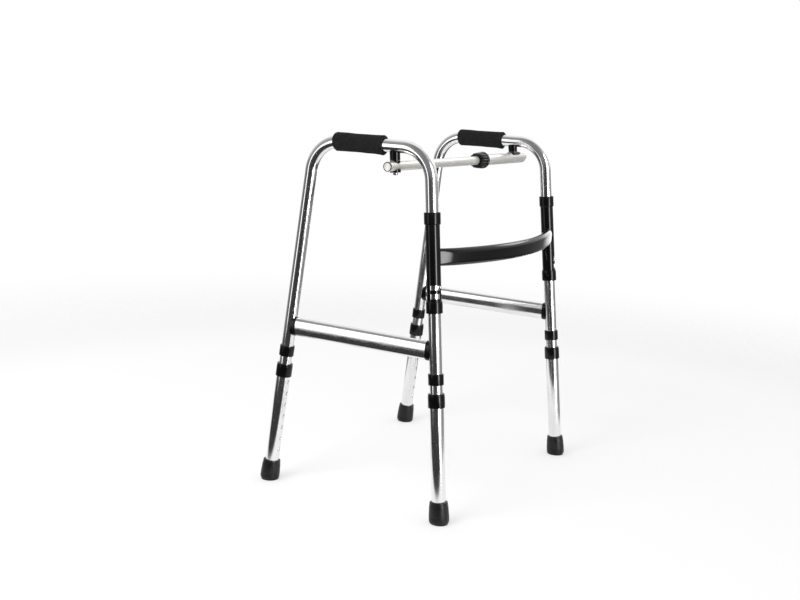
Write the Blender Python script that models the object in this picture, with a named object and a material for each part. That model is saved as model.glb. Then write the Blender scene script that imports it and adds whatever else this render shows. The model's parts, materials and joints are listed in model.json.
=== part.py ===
"""Folding walking frame: two inverted-U side frames that swing in the sleeves of a bowed front brace,
a telescoping link under the handles, and four legs with push-button height adjustment.

Metres, +Z up. The frame stands on z = 0 with the origin midway between its feet. -Y is the front, where the
brace is; the user stands on the open +Y side and faces -Y, so the user's right hand is at -X.
"""
import math

import bmesh
import bpy
from mathutils import Matrix, Vector

# Sides and ends
RIGHT, LEFT = -1, 1
FRONT, REAR = -1, 1
SIDE_NAMES = {RIGHT: "right", LEFT: "left"}
END_NAMES = {FRONT: "front", REAR: "rear"}

# Stance: leg axes at the floor, and how far they lean for each metre of height
HALF_TRACK = 0.2847
HALF_BASE = 0.21145
SPLAY = 0.0293
LEAN = 0.1037
HANDLE_HEIGHT = 0.734
BEND_RADIUS = 0.067

# Clearances, and how far cutters run past what they cut
SEAT_GAP = 0.0003
SLIDE_GAP = 0.0004
LINK_PIVOT_GAP = 0.0006
CUTTER_REACH = 0.0060

# Where the middle corner of a rounded edge lies, as a share of the edge's size
ROUND_MIDDLE = 1.0 - math.cos(math.pi / 4.0)

# Side frame tube
FRAME_RADIUS = 0.0127
TUBE_WALL = 0.0012
TUBE_SIDES = 16
BEND_STEPS = 6

# Leg parts, heights above the floor
CONNECTOR_TOP = 0.2993
CONNECTOR_WEB_TOP = 0.2830
CONNECTOR_BOTTOM = 0.2771
CONNECTOR_RADIUS = 0.0155
CONNECTOR_BORE = 0.0080
CONNECTOR_CHAMFER = 0.0011
PLUG_LENGTH = 0.0180
HEIGHT_TUBE_BOTTOM = 0.0580
LEG_TUBE_RADIUS = 0.0143
LEG_TUBE_BOTTOM = 0.0120
LEG_COLLAR_TOP = 0.2600
LEG_COLLAR_BOTTOM = 0.2321
LEG_COLLAR_RADIUS = 0.0170
LEG_COLLAR_LIP = 0.0035
LEG_COLLAR_CHAMFER = 0.0014

# Height holes and their snap buttons
HOLE_COUNT = 7
HOLE_PITCH = 0.0254
FIRST_HOLE = 0.0700
HOLE_RADIUS = 0.0040
HEIGHT_BUTTON_RADIUS = 0.0036
HEIGHT_BUTTON_STAND = 0.0015
BUTTON_FLANGE_RADIUS = 0.0055
BUTTON_FLANGE = 0.0012
BUTTON_SIDES = 8
BUTTON_DOME = 0.0014

# Feet
FOOT_TOP = 0.0436
FOOT_BASE_RADIUS = 0.0205
FOOT_TOP_RADIUS = 0.0188
FOOT_GROOVE_DEPTH = 0.0009
FOOT_GROOVE_HEIGHT = 0.0075
FOOT_GROOVE_WIDTH = 0.0030
FOOT_EDGE = 0.0014

# Front brace and its sleeves
BRACE_HEIGHT = 0.5270
BRACE_BOW = 0.0450
BRACE_TALL = 0.0380
BRACE_THICK = 0.0200
BRACE_WALL = 0.0015
BRACE_STEPS = 12
SLEEVE_RADIUS = 0.0145
SLEEVE_WALL = 0.0013
SLEEVE_SIDES = 18
SLEEVE_SOCKET = 0.0103
TOP_BUSH_BOTTOM = 0.5895
TOP_BUSH_TOP = 0.6135
TOP_BUSH_CONE = 0.0020
BUSH_RADIUS = 0.0165
BUSH_LIP = 0.0006
BUSH_EDGE = 0.0014

# Fold buttons, the sleeve slots that they run in, and the bottom bush below the slots
FOLD_BUTTON_HEIGHT = 0.4688
FOLD_BUTTON_RADIUS = 0.0030
FOLD_BUTTON_STAND = 0.0027
SLOT_ABOVE_BUTTON = 0.0009
BUTTON_SLOT_TALL = 0.0093
SLOT_LAND = 0.0068
LOWER_SLOT_TALL = 0.0101
SLOT_INWARD = math.radians(14.0)
SLOT_OUTWARD = math.radians(98.0)
BOTTOM_BUSH_DROP = 0.0040
BOTTOM_BUSH_LENGTH = 0.0247
BOTTOM_BUSH_CONE = 0.0040
BUTTON_SLOT_TOP = FOLD_BUTTON_HEIGHT + FOLD_BUTTON_RADIUS + SLOT_ABOVE_BUTTON
BUTTON_SLOT_BOTTOM = BUTTON_SLOT_TOP - BUTTON_SLOT_TALL
LOWER_SLOT_TOP = BUTTON_SLOT_BOTTOM - SLOT_LAND
LOWER_SLOT_BOTTOM = LOWER_SLOT_TOP - LOWER_SLOT_TALL
BOTTOM_BUSH_TOP = LOWER_SLOT_BOTTOM - BOTTOM_BUSH_DROP

# Lower cross tubes
CROSS_HEIGHT = 0.3425
CROSS_TALL = 0.0380
CROSS_THICK = 0.0200
CROSS_SADDLE = 0.0100
CROSS_SADDLE_EDGE = 0.0010
CROSS_SADDLE_WRAP = 0.0089
CROSS_SPIGOT = 0.0120
OVAL_STEPS = 5

# Grips, along the tube's own path from the middle of the handle
GRIP_RADIUS = 0.0200
GRIP_FRONT = 0.0345
GRIP_LENGTH = 0.1270
GRIP_EDGE = 0.0030

# Telescoping link between the two frames
LINK_DROP = 0.0390
LINK_HEIGHT = HANDLE_HEIGHT - LINK_DROP
POST_OFFSET = -0.0580
POST_RADIUS = 0.0104
ROD_RADIUS = 0.0095
ROD_OVERHANG = 0.0300
ROD_ENGAGEMENT = 0.0416
ROD_CAP = 0.0020
LINK_TUBE_RADIUS = 0.0120
LINK_TUBE_OVERHANG = 0.0570
LINK_TUBE_MOUTH = 0.1653
LINK_CAP = 0.0150
LINK_CAP_RADIUS = 0.0074
LINK_CAP_EDGE = 0.0008
LINK_SPIGOT = 0.0100
GUIDE_LENGTH = 0.0060
UPPER_SADDLE = 0.0020
LOWER_SADDLE = 0.0030
LOWER_SADDLE_RADIUS = 0.0110
SADDLE_WRAP = 0.0035
BOLT_RADIUS = 0.0030
BOLT_DEPTH = 0.0080
NUT_RADIUS = 0.0050
NUT_HEIGHT = 0.0050
NUT_SHOULDER = 0.0025
NUT_CROWN_RADIUS = 0.0030
NUT_CROWN = 0.0005
NUT_DEPTH = 0.0040
TUBE_SADDLE_LENGTH = 0.0400
TUBE_SADDLE_TOP_LENGTH = 0.0270
TUBE_SADDLE_WIDTH = 0.0220
TUBE_SADDLE_SKIRT = 0.0018
TUBE_SADDLE = 0.0016

# Clamp nut of the link
CLAMP_FRONT = 0.1873
CLAMP_BACK = 0.1553
CLAMP_RIM = 0.0100
CLAMP_FRONT_RADIUS = 0.0150
CLAMP_RADIUS = 0.0185
CLAMP_LIP = 0.0050
CLAMP_RIBS = 20
CLAMP_RIB_DEPTH = 0.0008
COLLET_LENGTH = 0.0160
COLLET_TAPER = 0.0064
COLLET_SLITS = 2
COLLET_SLIT = 0.0015
COLLET_SLIT_DEPTH = 0.0096

LEG_STRETCH = math.sqrt(1.0 + SPLAY * SPLAY + LEAN * LEAN)
SIDE_STRETCH = math.sqrt(1.0 + SPLAY * SPLAY)

# The link reaches past the left feet, so the middle of the side frames lies off the middle of the whole object
LINK_END = HALF_TRACK - SPLAY * LINK_HEIGHT + LINK_TUBE_OVERHANG
MIDDLE_X = (HALF_TRACK + FOOT_BASE_RADIUS - LINK_END) / 2.0


def clear_scene():
    for obj in list(bpy.data.objects):
        bpy.data.objects.remove(obj, do_unlink=True)


def make_material(name, colour, roughness, metallic):
    material = bpy.data.materials.new(name)
    material.use_nodes = True
    shader = material.node_tree.nodes["Principled BSDF"]
    shader.inputs["Base Color"].default_value = (*colour, 1.0)
    shader.inputs["Roughness"].default_value = roughness
    shader.inputs["Metallic"].default_value = metallic
    return material


# Frames of reference

def frame_along(origin, direction, near_y=(0.0, 1.0, 0.0)):
    """A frame at origin with its Z along direction and its Y as close to near_y as it can be."""
    z = Vector(direction).normalized()
    x = Vector(near_y).cross(z).normalized()
    y = z.cross(x)
    return Matrix.Translation(origin) @ Matrix((x, y, z)).transposed().to_4x4()


def leg_direction(side, end):
    return Vector((-side * SPLAY, -end * LEAN, 1.0)).normalized()


def foot_centre(side, end):
    return Vector((MIDDLE_X + side * HALF_TRACK, end * HALF_BASE, 0.0))


def leg_frame(side, end):
    """Z runs up the leg from its foot on the floor, Y stays in the plane of the side frame."""
    return frame_along(foot_centre(side, end), leg_direction(side, end))


def side_frame(side):
    """Y runs from front to rear and Z up the splayed plane that holds both legs and the handle."""
    return frame_along((MIDDLE_X + side * HALF_TRACK, 0.0, 0.0), (-side * SPLAY, 0.0, 1.0))


def up_leg(height):
    return height * LEG_STRETCH


def up_side(height):
    return height * SIDE_STRETCH


def track(height):
    """Half the distance between the two side frames at a height."""
    return HALF_TRACK - SPLAY * height


def side_x(side, height):
    return MIDDLE_X + side * track(height)


def leg_offset(height):
    """Half the distance between the two leg axes of a side frame at a height."""
    return HALF_BASE - LEAN * height


def link_pivot(side):
    return Vector((side_x(side, LINK_HEIGHT), POST_OFFSET, LINK_HEIGHT))


def link_length():
    return (link_pivot(LEFT) - link_pivot(RIGHT)).length


def rod_end():
    """Where the rod ends inside the link tube, from the right pivot."""
    return link_length() - LINK_TUBE_MOUTH + ROD_ENGAGEMENT


def link_frame():
    """Z runs from the right pivot to the left one, Y lies across the pivot bolt."""
    start = link_pivot(RIGHT)
    bolt = leg_direction(RIGHT, FRONT)
    along = link_pivot(LEFT) - start
    return frame_along(start, along, bolt.cross(along))


# Shapes

def bore(radius, sides):
    """Corner radius of a faceted hole whose flats stay outside a round of this radius."""
    return radius / math.cos(math.pi / sides)


def circle(radius, sides, height):
    step = 2.0 * math.pi / sides
    return [Vector((radius * math.cos(k * step), radius * math.sin(k * step), height)) for k in range(sides)]


def oval(thick, tall, inset=0.0):
    """Flat-sided oval with round ends: points (across, up), thick across and tall up."""
    radius = thick / 2.0 - inset
    reach = tall / 2.0 - thick / 2.0
    points = []
    for centre, start in ((reach, 0.0), (-reach, math.pi)):
        for k in range(OVAL_STEPS + 1):
            angle = start + math.pi * k / OVAL_STEPS
            points.append((radius * math.cos(angle), centre + radius * math.sin(angle)))
    return points


def loft(name, rings, closed=False):
    """Skin a run of rings with equal counts; the ends are capped unless the last ring joins the first."""
    bm = bmesh.new()
    rows = [[bm.verts.new(point) for point in ring] for ring in rings]
    count = len(rows[0])
    pairs = list(zip(rows, rows[1:]))
    if closed:
        pairs.append((rows[-1], rows[0]))
    for lower, upper in pairs:
        for k in range(count):
            after = (k + 1) % count
            bm.faces.new((lower[k], lower[after], upper[after], upper[k]))
    if not closed:
        bm.faces.new(reversed(rows[0]))
        bm.faces.new(rows[-1])
    return finish_mesh(name, bm)


def turned(name, profile, sides):
    """Revolve a closed (radius, height) outline about Z."""
    bm = bmesh.new()
    points = [bm.verts.new((radius, 0.0, height)) for radius, height in profile]
    edges = [bm.edges.new((a, b)) for a, b in zip(points, points[1:] + points[:1])]
    on_axis = [edge for edge in edges if max(v.co.x for v in edge.verts) < 1e-7]
    for edge in on_axis:
        bm.edges.remove(edge)
    bmesh.ops.spin(
        bm, geom=bm.edges[:] + bm.verts[:], cent=(0, 0, 0), axis=(0, 0, 1), dvec=(0, 0, 0),
        angle=2.0 * math.pi, steps=sides, use_merge=True, use_duplicate=False,
    )
    bmesh.ops.remove_doubles(bm, verts=bm.verts[:], dist=1e-6)
    return finish_mesh(name, bm)


def finish_mesh(name, bm):
    bmesh.ops.recalc_face_normals(bm, faces=bm.faces[:])
    mesh = bpy.data.meshes.new(name)
    bm.to_mesh(mesh)
    bm.free()
    mesh.shade_smooth()
    mesh.set_sharp_from_angle(angle=math.radians(35.0))
    return mesh


def tube_mesh(name, outer, inner, bottom, top, sides):
    """Plain round tube along Z."""
    rings = [circle(outer, sides, bottom), circle(outer, sides, top)]
    rings += [circle(bore(inner, sides), sides, top), circle(bore(inner, sides), sides, bottom)]
    return loft(name, rings, closed=True)


def cylinder_mesh(name, radius, bottom, top, sides):
    return loft(name, [circle(radius, sides, bottom), circle(radius, sides, top)])


def place(name, mesh, matrix, material, parent=None):
    """Put a mesh in the scene as one named piece, under the empty of its joint where it has one."""
    obj = bpy.data.objects.new(name, mesh)
    hang(obj, matrix, parent)
    mesh.materials.append(material)
    return obj


def hang(obj, matrix, parent):
    """Link an object at a place in the scene and let it follow its parent from there."""
    bpy.context.scene.collection.objects.link(obj)
    if parent is not None:
        obj.parent = parent
        obj.matrix_parent_inverse = parent.matrix_basis.inverted()
    obj.matrix_basis = matrix


def joint_empty(name, matrix, parent=None):
    """Marks a joint: its Z is the axis of the hinge or slide."""
    empty = bpy.data.objects.new(name, None)
    hang(empty, matrix, parent)
    empty.empty_display_size = 0.05
    empty.hide_render = True
    return empty


def cut(target, mesh, matrix):
    """Take a hidden cutter out of a piece."""
    cutter = bpy.data.objects.new(mesh.name, mesh)
    bpy.context.scene.collection.objects.link(cutter)
    cutter.matrix_basis = matrix
    cutter.display_type = "WIRE"
    cutter.hide_render = True
    modifier = target.modifiers.new(mesh.name, "BOOLEAN")
    modifier.operation = "DIFFERENCE"
    modifier.solver = "EXACT"
    modifier.object = cutter


def radial_frame(base, height, direction):
    """A frame at a height on a leg whose Z points out of the tube along a local direction."""
    local = frame_along((0.0, 0.0, height), direction, (0.0, 0.0, 1.0))
    return base @ local


# Side frames

def handle_corner():
    """Lean of the legs and centre of the bend between a leg and the handle, in the side plane."""
    lean = math.atan(LEAN)
    tangent = BEND_RADIUS * math.tan((math.pi / 2.0 - lean) / 2.0)
    centre_y = leg_offset(HANDLE_HEIGHT) - tangent
    centre_z = HANDLE_HEIGHT - BEND_RADIUS
    return lean, centre_y, centre_z


def rear_bend(first, last, steps):
    """Path points (y, height) on the rear bend between two angles, with their directions."""
    _, centre_y, centre_z = handle_corner()
    points = []
    for k in range(steps + 1):
        angle = first + (last - first) * k / steps
        place_at = (centre_y + BEND_RADIUS * math.cos(angle), centre_z + BEND_RADIUS * math.sin(angle))
        points.append((place_at, (-math.sin(angle), math.cos(angle))))
    return points


def sweep_ring(point, direction, radius, sides):
    """Ring round a path point of the side plane, square to the path."""
    across = Vector((1.0, 0.0, 0.0))
    along = Vector((0.0, direction[0], direction[1])).normalized()
    up = along.cross(across)
    centre = Vector((0.0, point[0], up_side(point[1])))
    return [
        centre + radius * (math.cos(a) * across + math.sin(a) * up)
        for a in (2.0 * math.pi * k / sides for k in range(sides))
    ]


def handle_stations():
    """Path stations of the whole frame tube, rear leg end first."""
    lean = handle_corner()[0]
    end_height = CONNECTOR_WEB_TOP + SEAT_GAP
    rear = [((leg_offset(end_height), end_height), (-math.sin(lean), math.cos(lean)))]
    rear += rear_bend(lean, math.pi / 2.0, BEND_STEPS)
    front = [((-y, z), (dy, -dz)) for (y, z), (dy, dz) in reversed(rear)]
    return rear + front


def frame_tube(side, material, parent):
    name = "frame_tube_" + SIDE_NAMES[side]
    outer = [sweep_ring(p, d, FRAME_RADIUS, TUBE_SIDES) for p, d in handle_stations()]
    inner_radius = bore(FRAME_RADIUS - TUBE_WALL, TUBE_SIDES)
    inner = [sweep_ring(p, d, inner_radius, TUBE_SIDES) for p, d in handle_stations()]
    obj = place(name, loft(name, outer + inner[::-1], closed=True), side_frame(side), material, parent)
    hole = cylinder_mesh(name + "_button_hole", bore(FOLD_BUTTON_RADIUS + SLIDE_GAP, BUTTON_SIDES),
                         0.0, FRAME_RADIUS + CUTTER_REACH, BUTTON_SIDES)
    cut(obj, hole, radial_frame(leg_frame(side, FRONT), up_leg(FOLD_BUTTON_HEIGHT), (0.0, -1.0, 0.0)))


def grip_stations():
    """Stations (point, direction, radius) along the foam grip, front end first."""
    straight = handle_corner()[1] + GRIP_FRONT
    turn = (GRIP_LENGTH - straight) / BEND_RADIUS
    stations = [
        ((-GRIP_FRONT, HANDLE_HEIGHT), (1.0, 0.0), GRIP_RADIUS - GRIP_EDGE),
        ((-GRIP_FRONT + GRIP_EDGE * ROUND_MIDDLE, HANDLE_HEIGHT), (1.0, 0.0), GRIP_RADIUS - GRIP_EDGE * ROUND_MIDDLE),
        ((-GRIP_FRONT + GRIP_EDGE, HANDLE_HEIGHT), (1.0, 0.0), GRIP_RADIUS),
    ]
    edge = GRIP_EDGE / BEND_RADIUS
    bend_points = rear_bend(math.pi / 2.0, math.pi / 2.0 - turn + edge, 3)
    stations += [(p, (-d[0], -d[1]), GRIP_RADIUS) for p, d in bend_points]
    tip = rear_bend(math.pi / 2.0 - turn + edge * ROUND_MIDDLE, math.pi / 2.0 - turn, 1)
    for (p, d), radius in zip(tip, (GRIP_RADIUS - GRIP_EDGE * ROUND_MIDDLE, GRIP_RADIUS - GRIP_EDGE)):
        stations.append((p, (-d[0], -d[1]), radius))
    return stations


def grip(side, material, parent):
    name = "grip_" + SIDE_NAMES[side]
    stations = grip_stations()
    outer = [sweep_ring(p, d, radius, TUBE_SIDES) for p, d, radius in stations]
    inner_radius = bore(FRAME_RADIUS + SEAT_GAP, TUBE_SIDES)
    plain = [stations[0]] + stations[3:-2] + [stations[-1]]
    inner = [sweep_ring(p, d, inner_radius, TUBE_SIDES) for p, d, radius in plain]
    place(name, loft(name, outer + inner[::-1], closed=True), side_frame(side), material, parent)


def oval_ring(points, y):
    return [Vector((x, y, z)) for x, z in points]


def saddle_face():
    """Distance from the middle of a side frame to the flat face of its cross saddles."""
    return leg_offset(CROSS_HEIGHT) - FRAME_RADIUS - SEAT_GAP - CROSS_SADDLE


def cross_frame(side):
    return side_frame(side) @ Matrix.Translation((0.0, 0.0, up_side(CROSS_HEIGHT)))


def cross_tube(side, material, parent):
    name = "cross_tube_" + SIDE_NAMES[side]
    outer = oval(CROSS_THICK, CROSS_TALL)
    inner = oval(CROSS_THICK, CROSS_TALL, TUBE_WALL)
    reach = saddle_face() - SEAT_GAP
    rings = [oval_ring(outer, -reach), oval_ring(outer, reach), oval_ring(inner, reach), oval_ring(inner, -reach)]
    place(name, loft(name, rings, closed=True), cross_frame(side), material, parent)


def cross_saddle(side, end, material, parent):
    """End piece that hugs the leg and plugs into the cross tube."""
    name = "cross_saddle_{}_{}".format(END_NAMES[end], SIDE_NAMES[side])
    face = saddle_face()
    body = oval(CROSS_THICK + 2 * CROSS_SADDLE_EDGE, CROSS_TALL + 2 * CROSS_SADDLE_EDGE)
    eased = oval(CROSS_THICK, CROSS_TALL)
    spigot = oval(CROSS_THICK, CROSS_TALL, TUBE_WALL + SEAT_GAP)
    rings = [
        oval_ring(body, end * (leg_offset(CROSS_HEIGHT) - FRAME_RADIUS + CROSS_SADDLE_WRAP)),
        oval_ring(body, end * (face + CROSS_SADDLE_EDGE)),
        oval_ring(eased, end * face),
        oval_ring(spigot, end * face),
        oval_ring(spigot, end * (face - CROSS_SPIGOT)),
    ]
    obj = place(name, loft(name, rings), cross_frame(side), material, parent)
    leg = cylinder_mesh(name + "_leg_hollow", bore(FRAME_RADIUS + SEAT_GAP, TUBE_SIDES),
                        up_leg(CROSS_HEIGHT) - CROSS_TALL, up_leg(CROSS_HEIGHT) + CROSS_TALL, TUBE_SIDES)
    cut(obj, leg, leg_frame(side, end))


# Legs

def leg_connector(side, end, material, parent):
    """Plug and collar that join the side frame tube to the height tube below it."""
    name = "leg_connector_{}_{}".format(END_NAMES[end], SIDE_NAMES[side])
    plug = FRAME_RADIUS - TUBE_WALL - SEAT_GAP
    socket = bore(FRAME_RADIUS + SEAT_GAP, TUBE_SIDES)
    bottom, web, top = up_leg(CONNECTOR_BOTTOM), up_leg(CONNECTOR_WEB_TOP), up_leg(CONNECTOR_TOP)
    profile = [
        (CONNECTOR_BORE, bottom - PLUG_LENGTH),
        (plug, bottom - PLUG_LENGTH),
        (plug, bottom),
        (CONNECTOR_RADIUS - CONNECTOR_CHAMFER, bottom),
        (CONNECTOR_RADIUS, bottom + CONNECTOR_CHAMFER),
        (CONNECTOR_RADIUS, top - CONNECTOR_CHAMFER),
        (CONNECTOR_RADIUS - CONNECTOR_CHAMFER, top),
        (socket, top),
        (socket, web),
        (plug, web),
        (plug, web + PLUG_LENGTH + CONNECTOR_TOP - CONNECTOR_WEB_TOP),
        (CONNECTOR_BORE, web + PLUG_LENGTH + CONNECTOR_TOP - CONNECTOR_WEB_TOP),
    ]
    place(name, turned(name, profile, TUBE_SIDES), leg_frame(side, end), material, parent)


def inward(end):
    """Local direction from a leg towards the middle of its side frame."""
    return (0.0, -float(end), 0.0)


def height_tube(side, end, material, parent):
    """Tube fixed under the connector, inside the sliding leg tube."""
    name = "height_tube_{}_{}".format(END_NAMES[end], SIDE_NAMES[side])
    mesh = tube_mesh(name, FRAME_RADIUS, FRAME_RADIUS - TUBE_WALL, up_leg(HEIGHT_TUBE_BOTTOM),
                     up_leg(CONNECTOR_BOTTOM) - SEAT_GAP, TUBE_SIDES)
    obj = place(name, mesh, leg_frame(side, end), material, parent)
    hole = cylinder_mesh(name + "_button_hole", bore(HOLE_RADIUS, BUTTON_SIDES), 0.0,
                         FRAME_RADIUS + CUTTER_REACH, BUTTON_SIDES)
    cut(obj, hole, radial_frame(leg_frame(side, end), up_leg(FIRST_HOLE), inward(end)))


def leg_tube(side, end, material, parent):
    """Sliding lower tube with a row of height holes."""
    name = "leg_tube_{}_{}".format(END_NAMES[end], SIDE_NAMES[side])
    top = up_leg(LEG_COLLAR_TOP) - LEG_COLLAR_LIP - SEAT_GAP
    mesh = tube_mesh(name, LEG_TUBE_RADIUS, FRAME_RADIUS + SLIDE_GAP, up_leg(LEG_TUBE_BOTTOM), top, TUBE_SIDES)
    obj = place(name, mesh, leg_frame(side, end), material, parent)
    for k in range(HOLE_COUNT):
        hole = cylinder_mesh("{}_hole_{}".format(name, k + 1), bore(HOLE_RADIUS, BUTTON_SIDES), 0.0,
                             LEG_TUBE_RADIUS + CUTTER_REACH, BUTTON_SIDES)
        cut(obj, hole, radial_frame(leg_frame(side, end), up_leg(FIRST_HOLE) + k * HOLE_PITCH, inward(end)))


def leg_collar(side, end, material, parent):
    """Cap on top of the leg tube, through which the height tube slides."""
    name = "leg_collar_{}_{}".format(END_NAMES[end], SIDE_NAMES[side])
    bottom, top = up_leg(LEG_COLLAR_BOTTOM), up_leg(LEG_COLLAR_TOP)
    socket = bore(LEG_TUBE_RADIUS + SEAT_GAP, TUBE_SIDES)
    throat = bore(FRAME_RADIUS + SEAT_GAP, TUBE_SIDES)
    profile = [
        (socket, bottom),
        (LEG_COLLAR_RADIUS - LEG_COLLAR_CHAMFER, bottom),
        (LEG_COLLAR_RADIUS, bottom + LEG_COLLAR_CHAMFER),
        (LEG_COLLAR_RADIUS, top - 2 * LEG_COLLAR_CHAMFER),
        (LEG_COLLAR_RADIUS - LEG_COLLAR_CHAMFER, top),
        (throat, top),
        (throat, top - LEG_COLLAR_LIP),
        (socket, top - LEG_COLLAR_LIP),
    ]
    place(name, turned(name, profile, TUBE_SIDES), leg_frame(side, end), material, parent)


def foot(side, end, material, parent):
    """Rubber tip with a moulded groove, cut flat where it meets the floor."""
    name = "foot_{}_{}".format(END_NAMES[end], SIDE_NAMES[side])
    socket = bore(LEG_TUBE_RADIUS + SEAT_GAP, TUBE_SIDES)
    floor = up_leg(LEG_TUBE_BOTTOM) - SEAT_GAP
    below = FOOT_BASE_RADIUS * (LEAN + SPLAY)
    groove = FOOT_BASE_RADIUS - FOOT_GROOVE_DEPTH
    profile = [
        (0.0, -below),
        (FOOT_BASE_RADIUS, -below),
        (FOOT_BASE_RADIUS, FOOT_GROOVE_HEIGHT),
        (groove, FOOT_GROOVE_HEIGHT + FOOT_GROOVE_DEPTH),
        (groove, FOOT_GROOVE_HEIGHT + FOOT_GROOVE_WIDTH),
        (FOOT_BASE_RADIUS - FOOT_GROOVE_DEPTH * ROUND_MIDDLE, FOOT_GROOVE_HEIGHT + FOOT_GROOVE_WIDTH + FOOT_GROOVE_DEPTH),
        (FOOT_TOP_RADIUS, up_leg(FOOT_TOP) - FOOT_EDGE),
        (FOOT_TOP_RADIUS - FOOT_EDGE, up_leg(FOOT_TOP)),
        (socket, up_leg(FOOT_TOP)),
        (socket, floor),
        (0.0, floor),
    ]
    obj = place(name, turned(name, profile, TUBE_SIDES), leg_frame(side, end), material, parent)
    reach = FOOT_BASE_RADIUS + CUTTER_REACH
    ground = cylinder_mesh(name + "_ground", bore(reach, 4), -reach, 0.0, 4)
    cut(obj, ground, Matrix.Translation(foot_centre(side, end)))


def button_mesh(name, radius, tip, tube_bore):
    """Snap button along Z from the tube's axis: an inner flange and a domed stud."""
    seat = math.sqrt((tube_bore - SEAT_GAP) ** 2 - BUTTON_FLANGE_RADIUS ** 2)
    profile = [
        (0.0, seat - BUTTON_FLANGE),
        (BUTTON_FLANGE_RADIUS, seat - BUTTON_FLANGE),
        (BUTTON_FLANGE_RADIUS, seat),
        (radius, seat),
        (radius, tip - BUTTON_DOME),
        (radius * (1.0 - ROUND_MIDDLE), tip - BUTTON_DOME * ROUND_MIDDLE),
        (0.0, tip),
    ]
    return turned(name, profile, BUTTON_SIDES)


def height_button(side, end, material, fold):
    name = "height_button_{}_{}".format(END_NAMES[end], SIDE_NAMES[side])
    matrix = radial_frame(leg_frame(side, end), up_leg(FIRST_HOLE), inward(end))
    empty = joint_empty(name + "_slide", matrix, fold)
    tip = LEG_TUBE_RADIUS + HEIGHT_BUTTON_STAND
    mesh = button_mesh(name, HEIGHT_BUTTON_RADIUS, tip, FRAME_RADIUS - TUBE_WALL)
    place(name, mesh, matrix, material, empty)


def leg(side, end, materials, fold):
    """One leg: the fixed upper pieces on the side frame and the sliding lower ones on their own empty."""
    slide = joint_empty("height_slide_{}_{}".format(END_NAMES[end], SIDE_NAMES[side]), leg_frame(side, end), fold)
    leg_connector(side, end, materials["plastic"], fold)
    height_tube(side, end, materials["aluminium"], fold)
    height_button(side, end, materials["steel"], fold)
    leg_tube(side, end, materials["aluminium"], slide)
    leg_collar(side, end, materials["plastic"], slide)
    foot(side, end, materials["rubber"], slide)


# Brace and sleeves

def slot_cutter(name, side, bottom, top):
    """Sector of a ring, from just inside the front of the sleeve round to its outer side."""
    inner, outer = SLEEVE_RADIUS - 2 * SLEEVE_WALL, SLEEVE_RADIUS + SLEEVE_WALL
    front = -math.pi / 2.0
    steps = SLEEVE_SIDES // 3
    first, last = front - side * SLOT_INWARD, front + side * SLOT_OUTWARD
    rings = []
    for k in range(steps + 1):
        angle = first + (last - first) * k / steps
        x, y = math.cos(angle), math.sin(angle)
        rings.append([
            Vector((inner * x, inner * y, bottom)),
            Vector((outer * x, outer * y, bottom)),
            Vector((outer * x, outer * y, top)),
            Vector((inner * x, inner * y, top)),
        ])
    return loft(name, rings)


def sleeve(side, material):
    """Outer sleeve round the front leg, with two slots for the snap buttons."""
    name = "sleeve_" + SIDE_NAMES[side]
    mesh = tube_mesh(name, SLEEVE_RADIUS, SLEEVE_RADIUS - SLEEVE_WALL,
                     up_leg(BOTTOM_BUSH_TOP) - SLEEVE_SOCKET + SEAT_GAP,
                     up_leg(TOP_BUSH_BOTTOM) + SLEEVE_SOCKET - SEAT_GAP, SLEEVE_SIDES)
    obj = place(name, mesh, leg_frame(side, FRONT), material)
    slots = ((BUTTON_SLOT_BOTTOM, BUTTON_SLOT_TOP), (LOWER_SLOT_BOTTOM, LOWER_SLOT_TOP))
    for k, (bottom, top) in enumerate(slots):
        cutter = slot_cutter("{}_slot_{}".format(name, k + 1), side, up_leg(bottom), up_leg(top))
        cut(obj, cutter, leg_frame(side, FRONT))


def sleeve_bush(side, which, material):
    """Plastic bush that caps an end of the sleeve and bears on the frame tube."""
    name = "sleeve_{}_bush_{}".format(which, SIDE_NAMES[side])
    socket = bore(SLEEVE_RADIUS + SEAT_GAP, SLEEVE_SIDES)
    throat = bore(FRAME_RADIUS + SEAT_GAP, SLEEVE_SIDES)
    if which == "top":
        mouth, end, way = up_leg(TOP_BUSH_BOTTOM), up_leg(TOP_BUSH_TOP), 1.0
        cone = TOP_BUSH_CONE
    else:
        mouth, end, way = up_leg(BOTTOM_BUSH_TOP), up_leg(BOTTOM_BUSH_TOP - BOTTOM_BUSH_LENGTH), -1.0
        cone = BOTTOM_BUSH_CONE
    profile = [
        (socket, mouth),
        (socket + BUSH_LIP, mouth),
        (BUSH_RADIUS, mouth + way * cone),
        (BUSH_RADIUS, end - way * BUSH_EDGE),
        (BUSH_RADIUS - BUSH_EDGE, end),
        (throat, end),
        (throat, mouth + way * SLEEVE_SOCKET),
        (socket, mouth + way * SLEEVE_SOCKET),
    ]
    place(name, turned(name, profile, SLEEVE_SIDES), leg_frame(side, FRONT), material)


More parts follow.
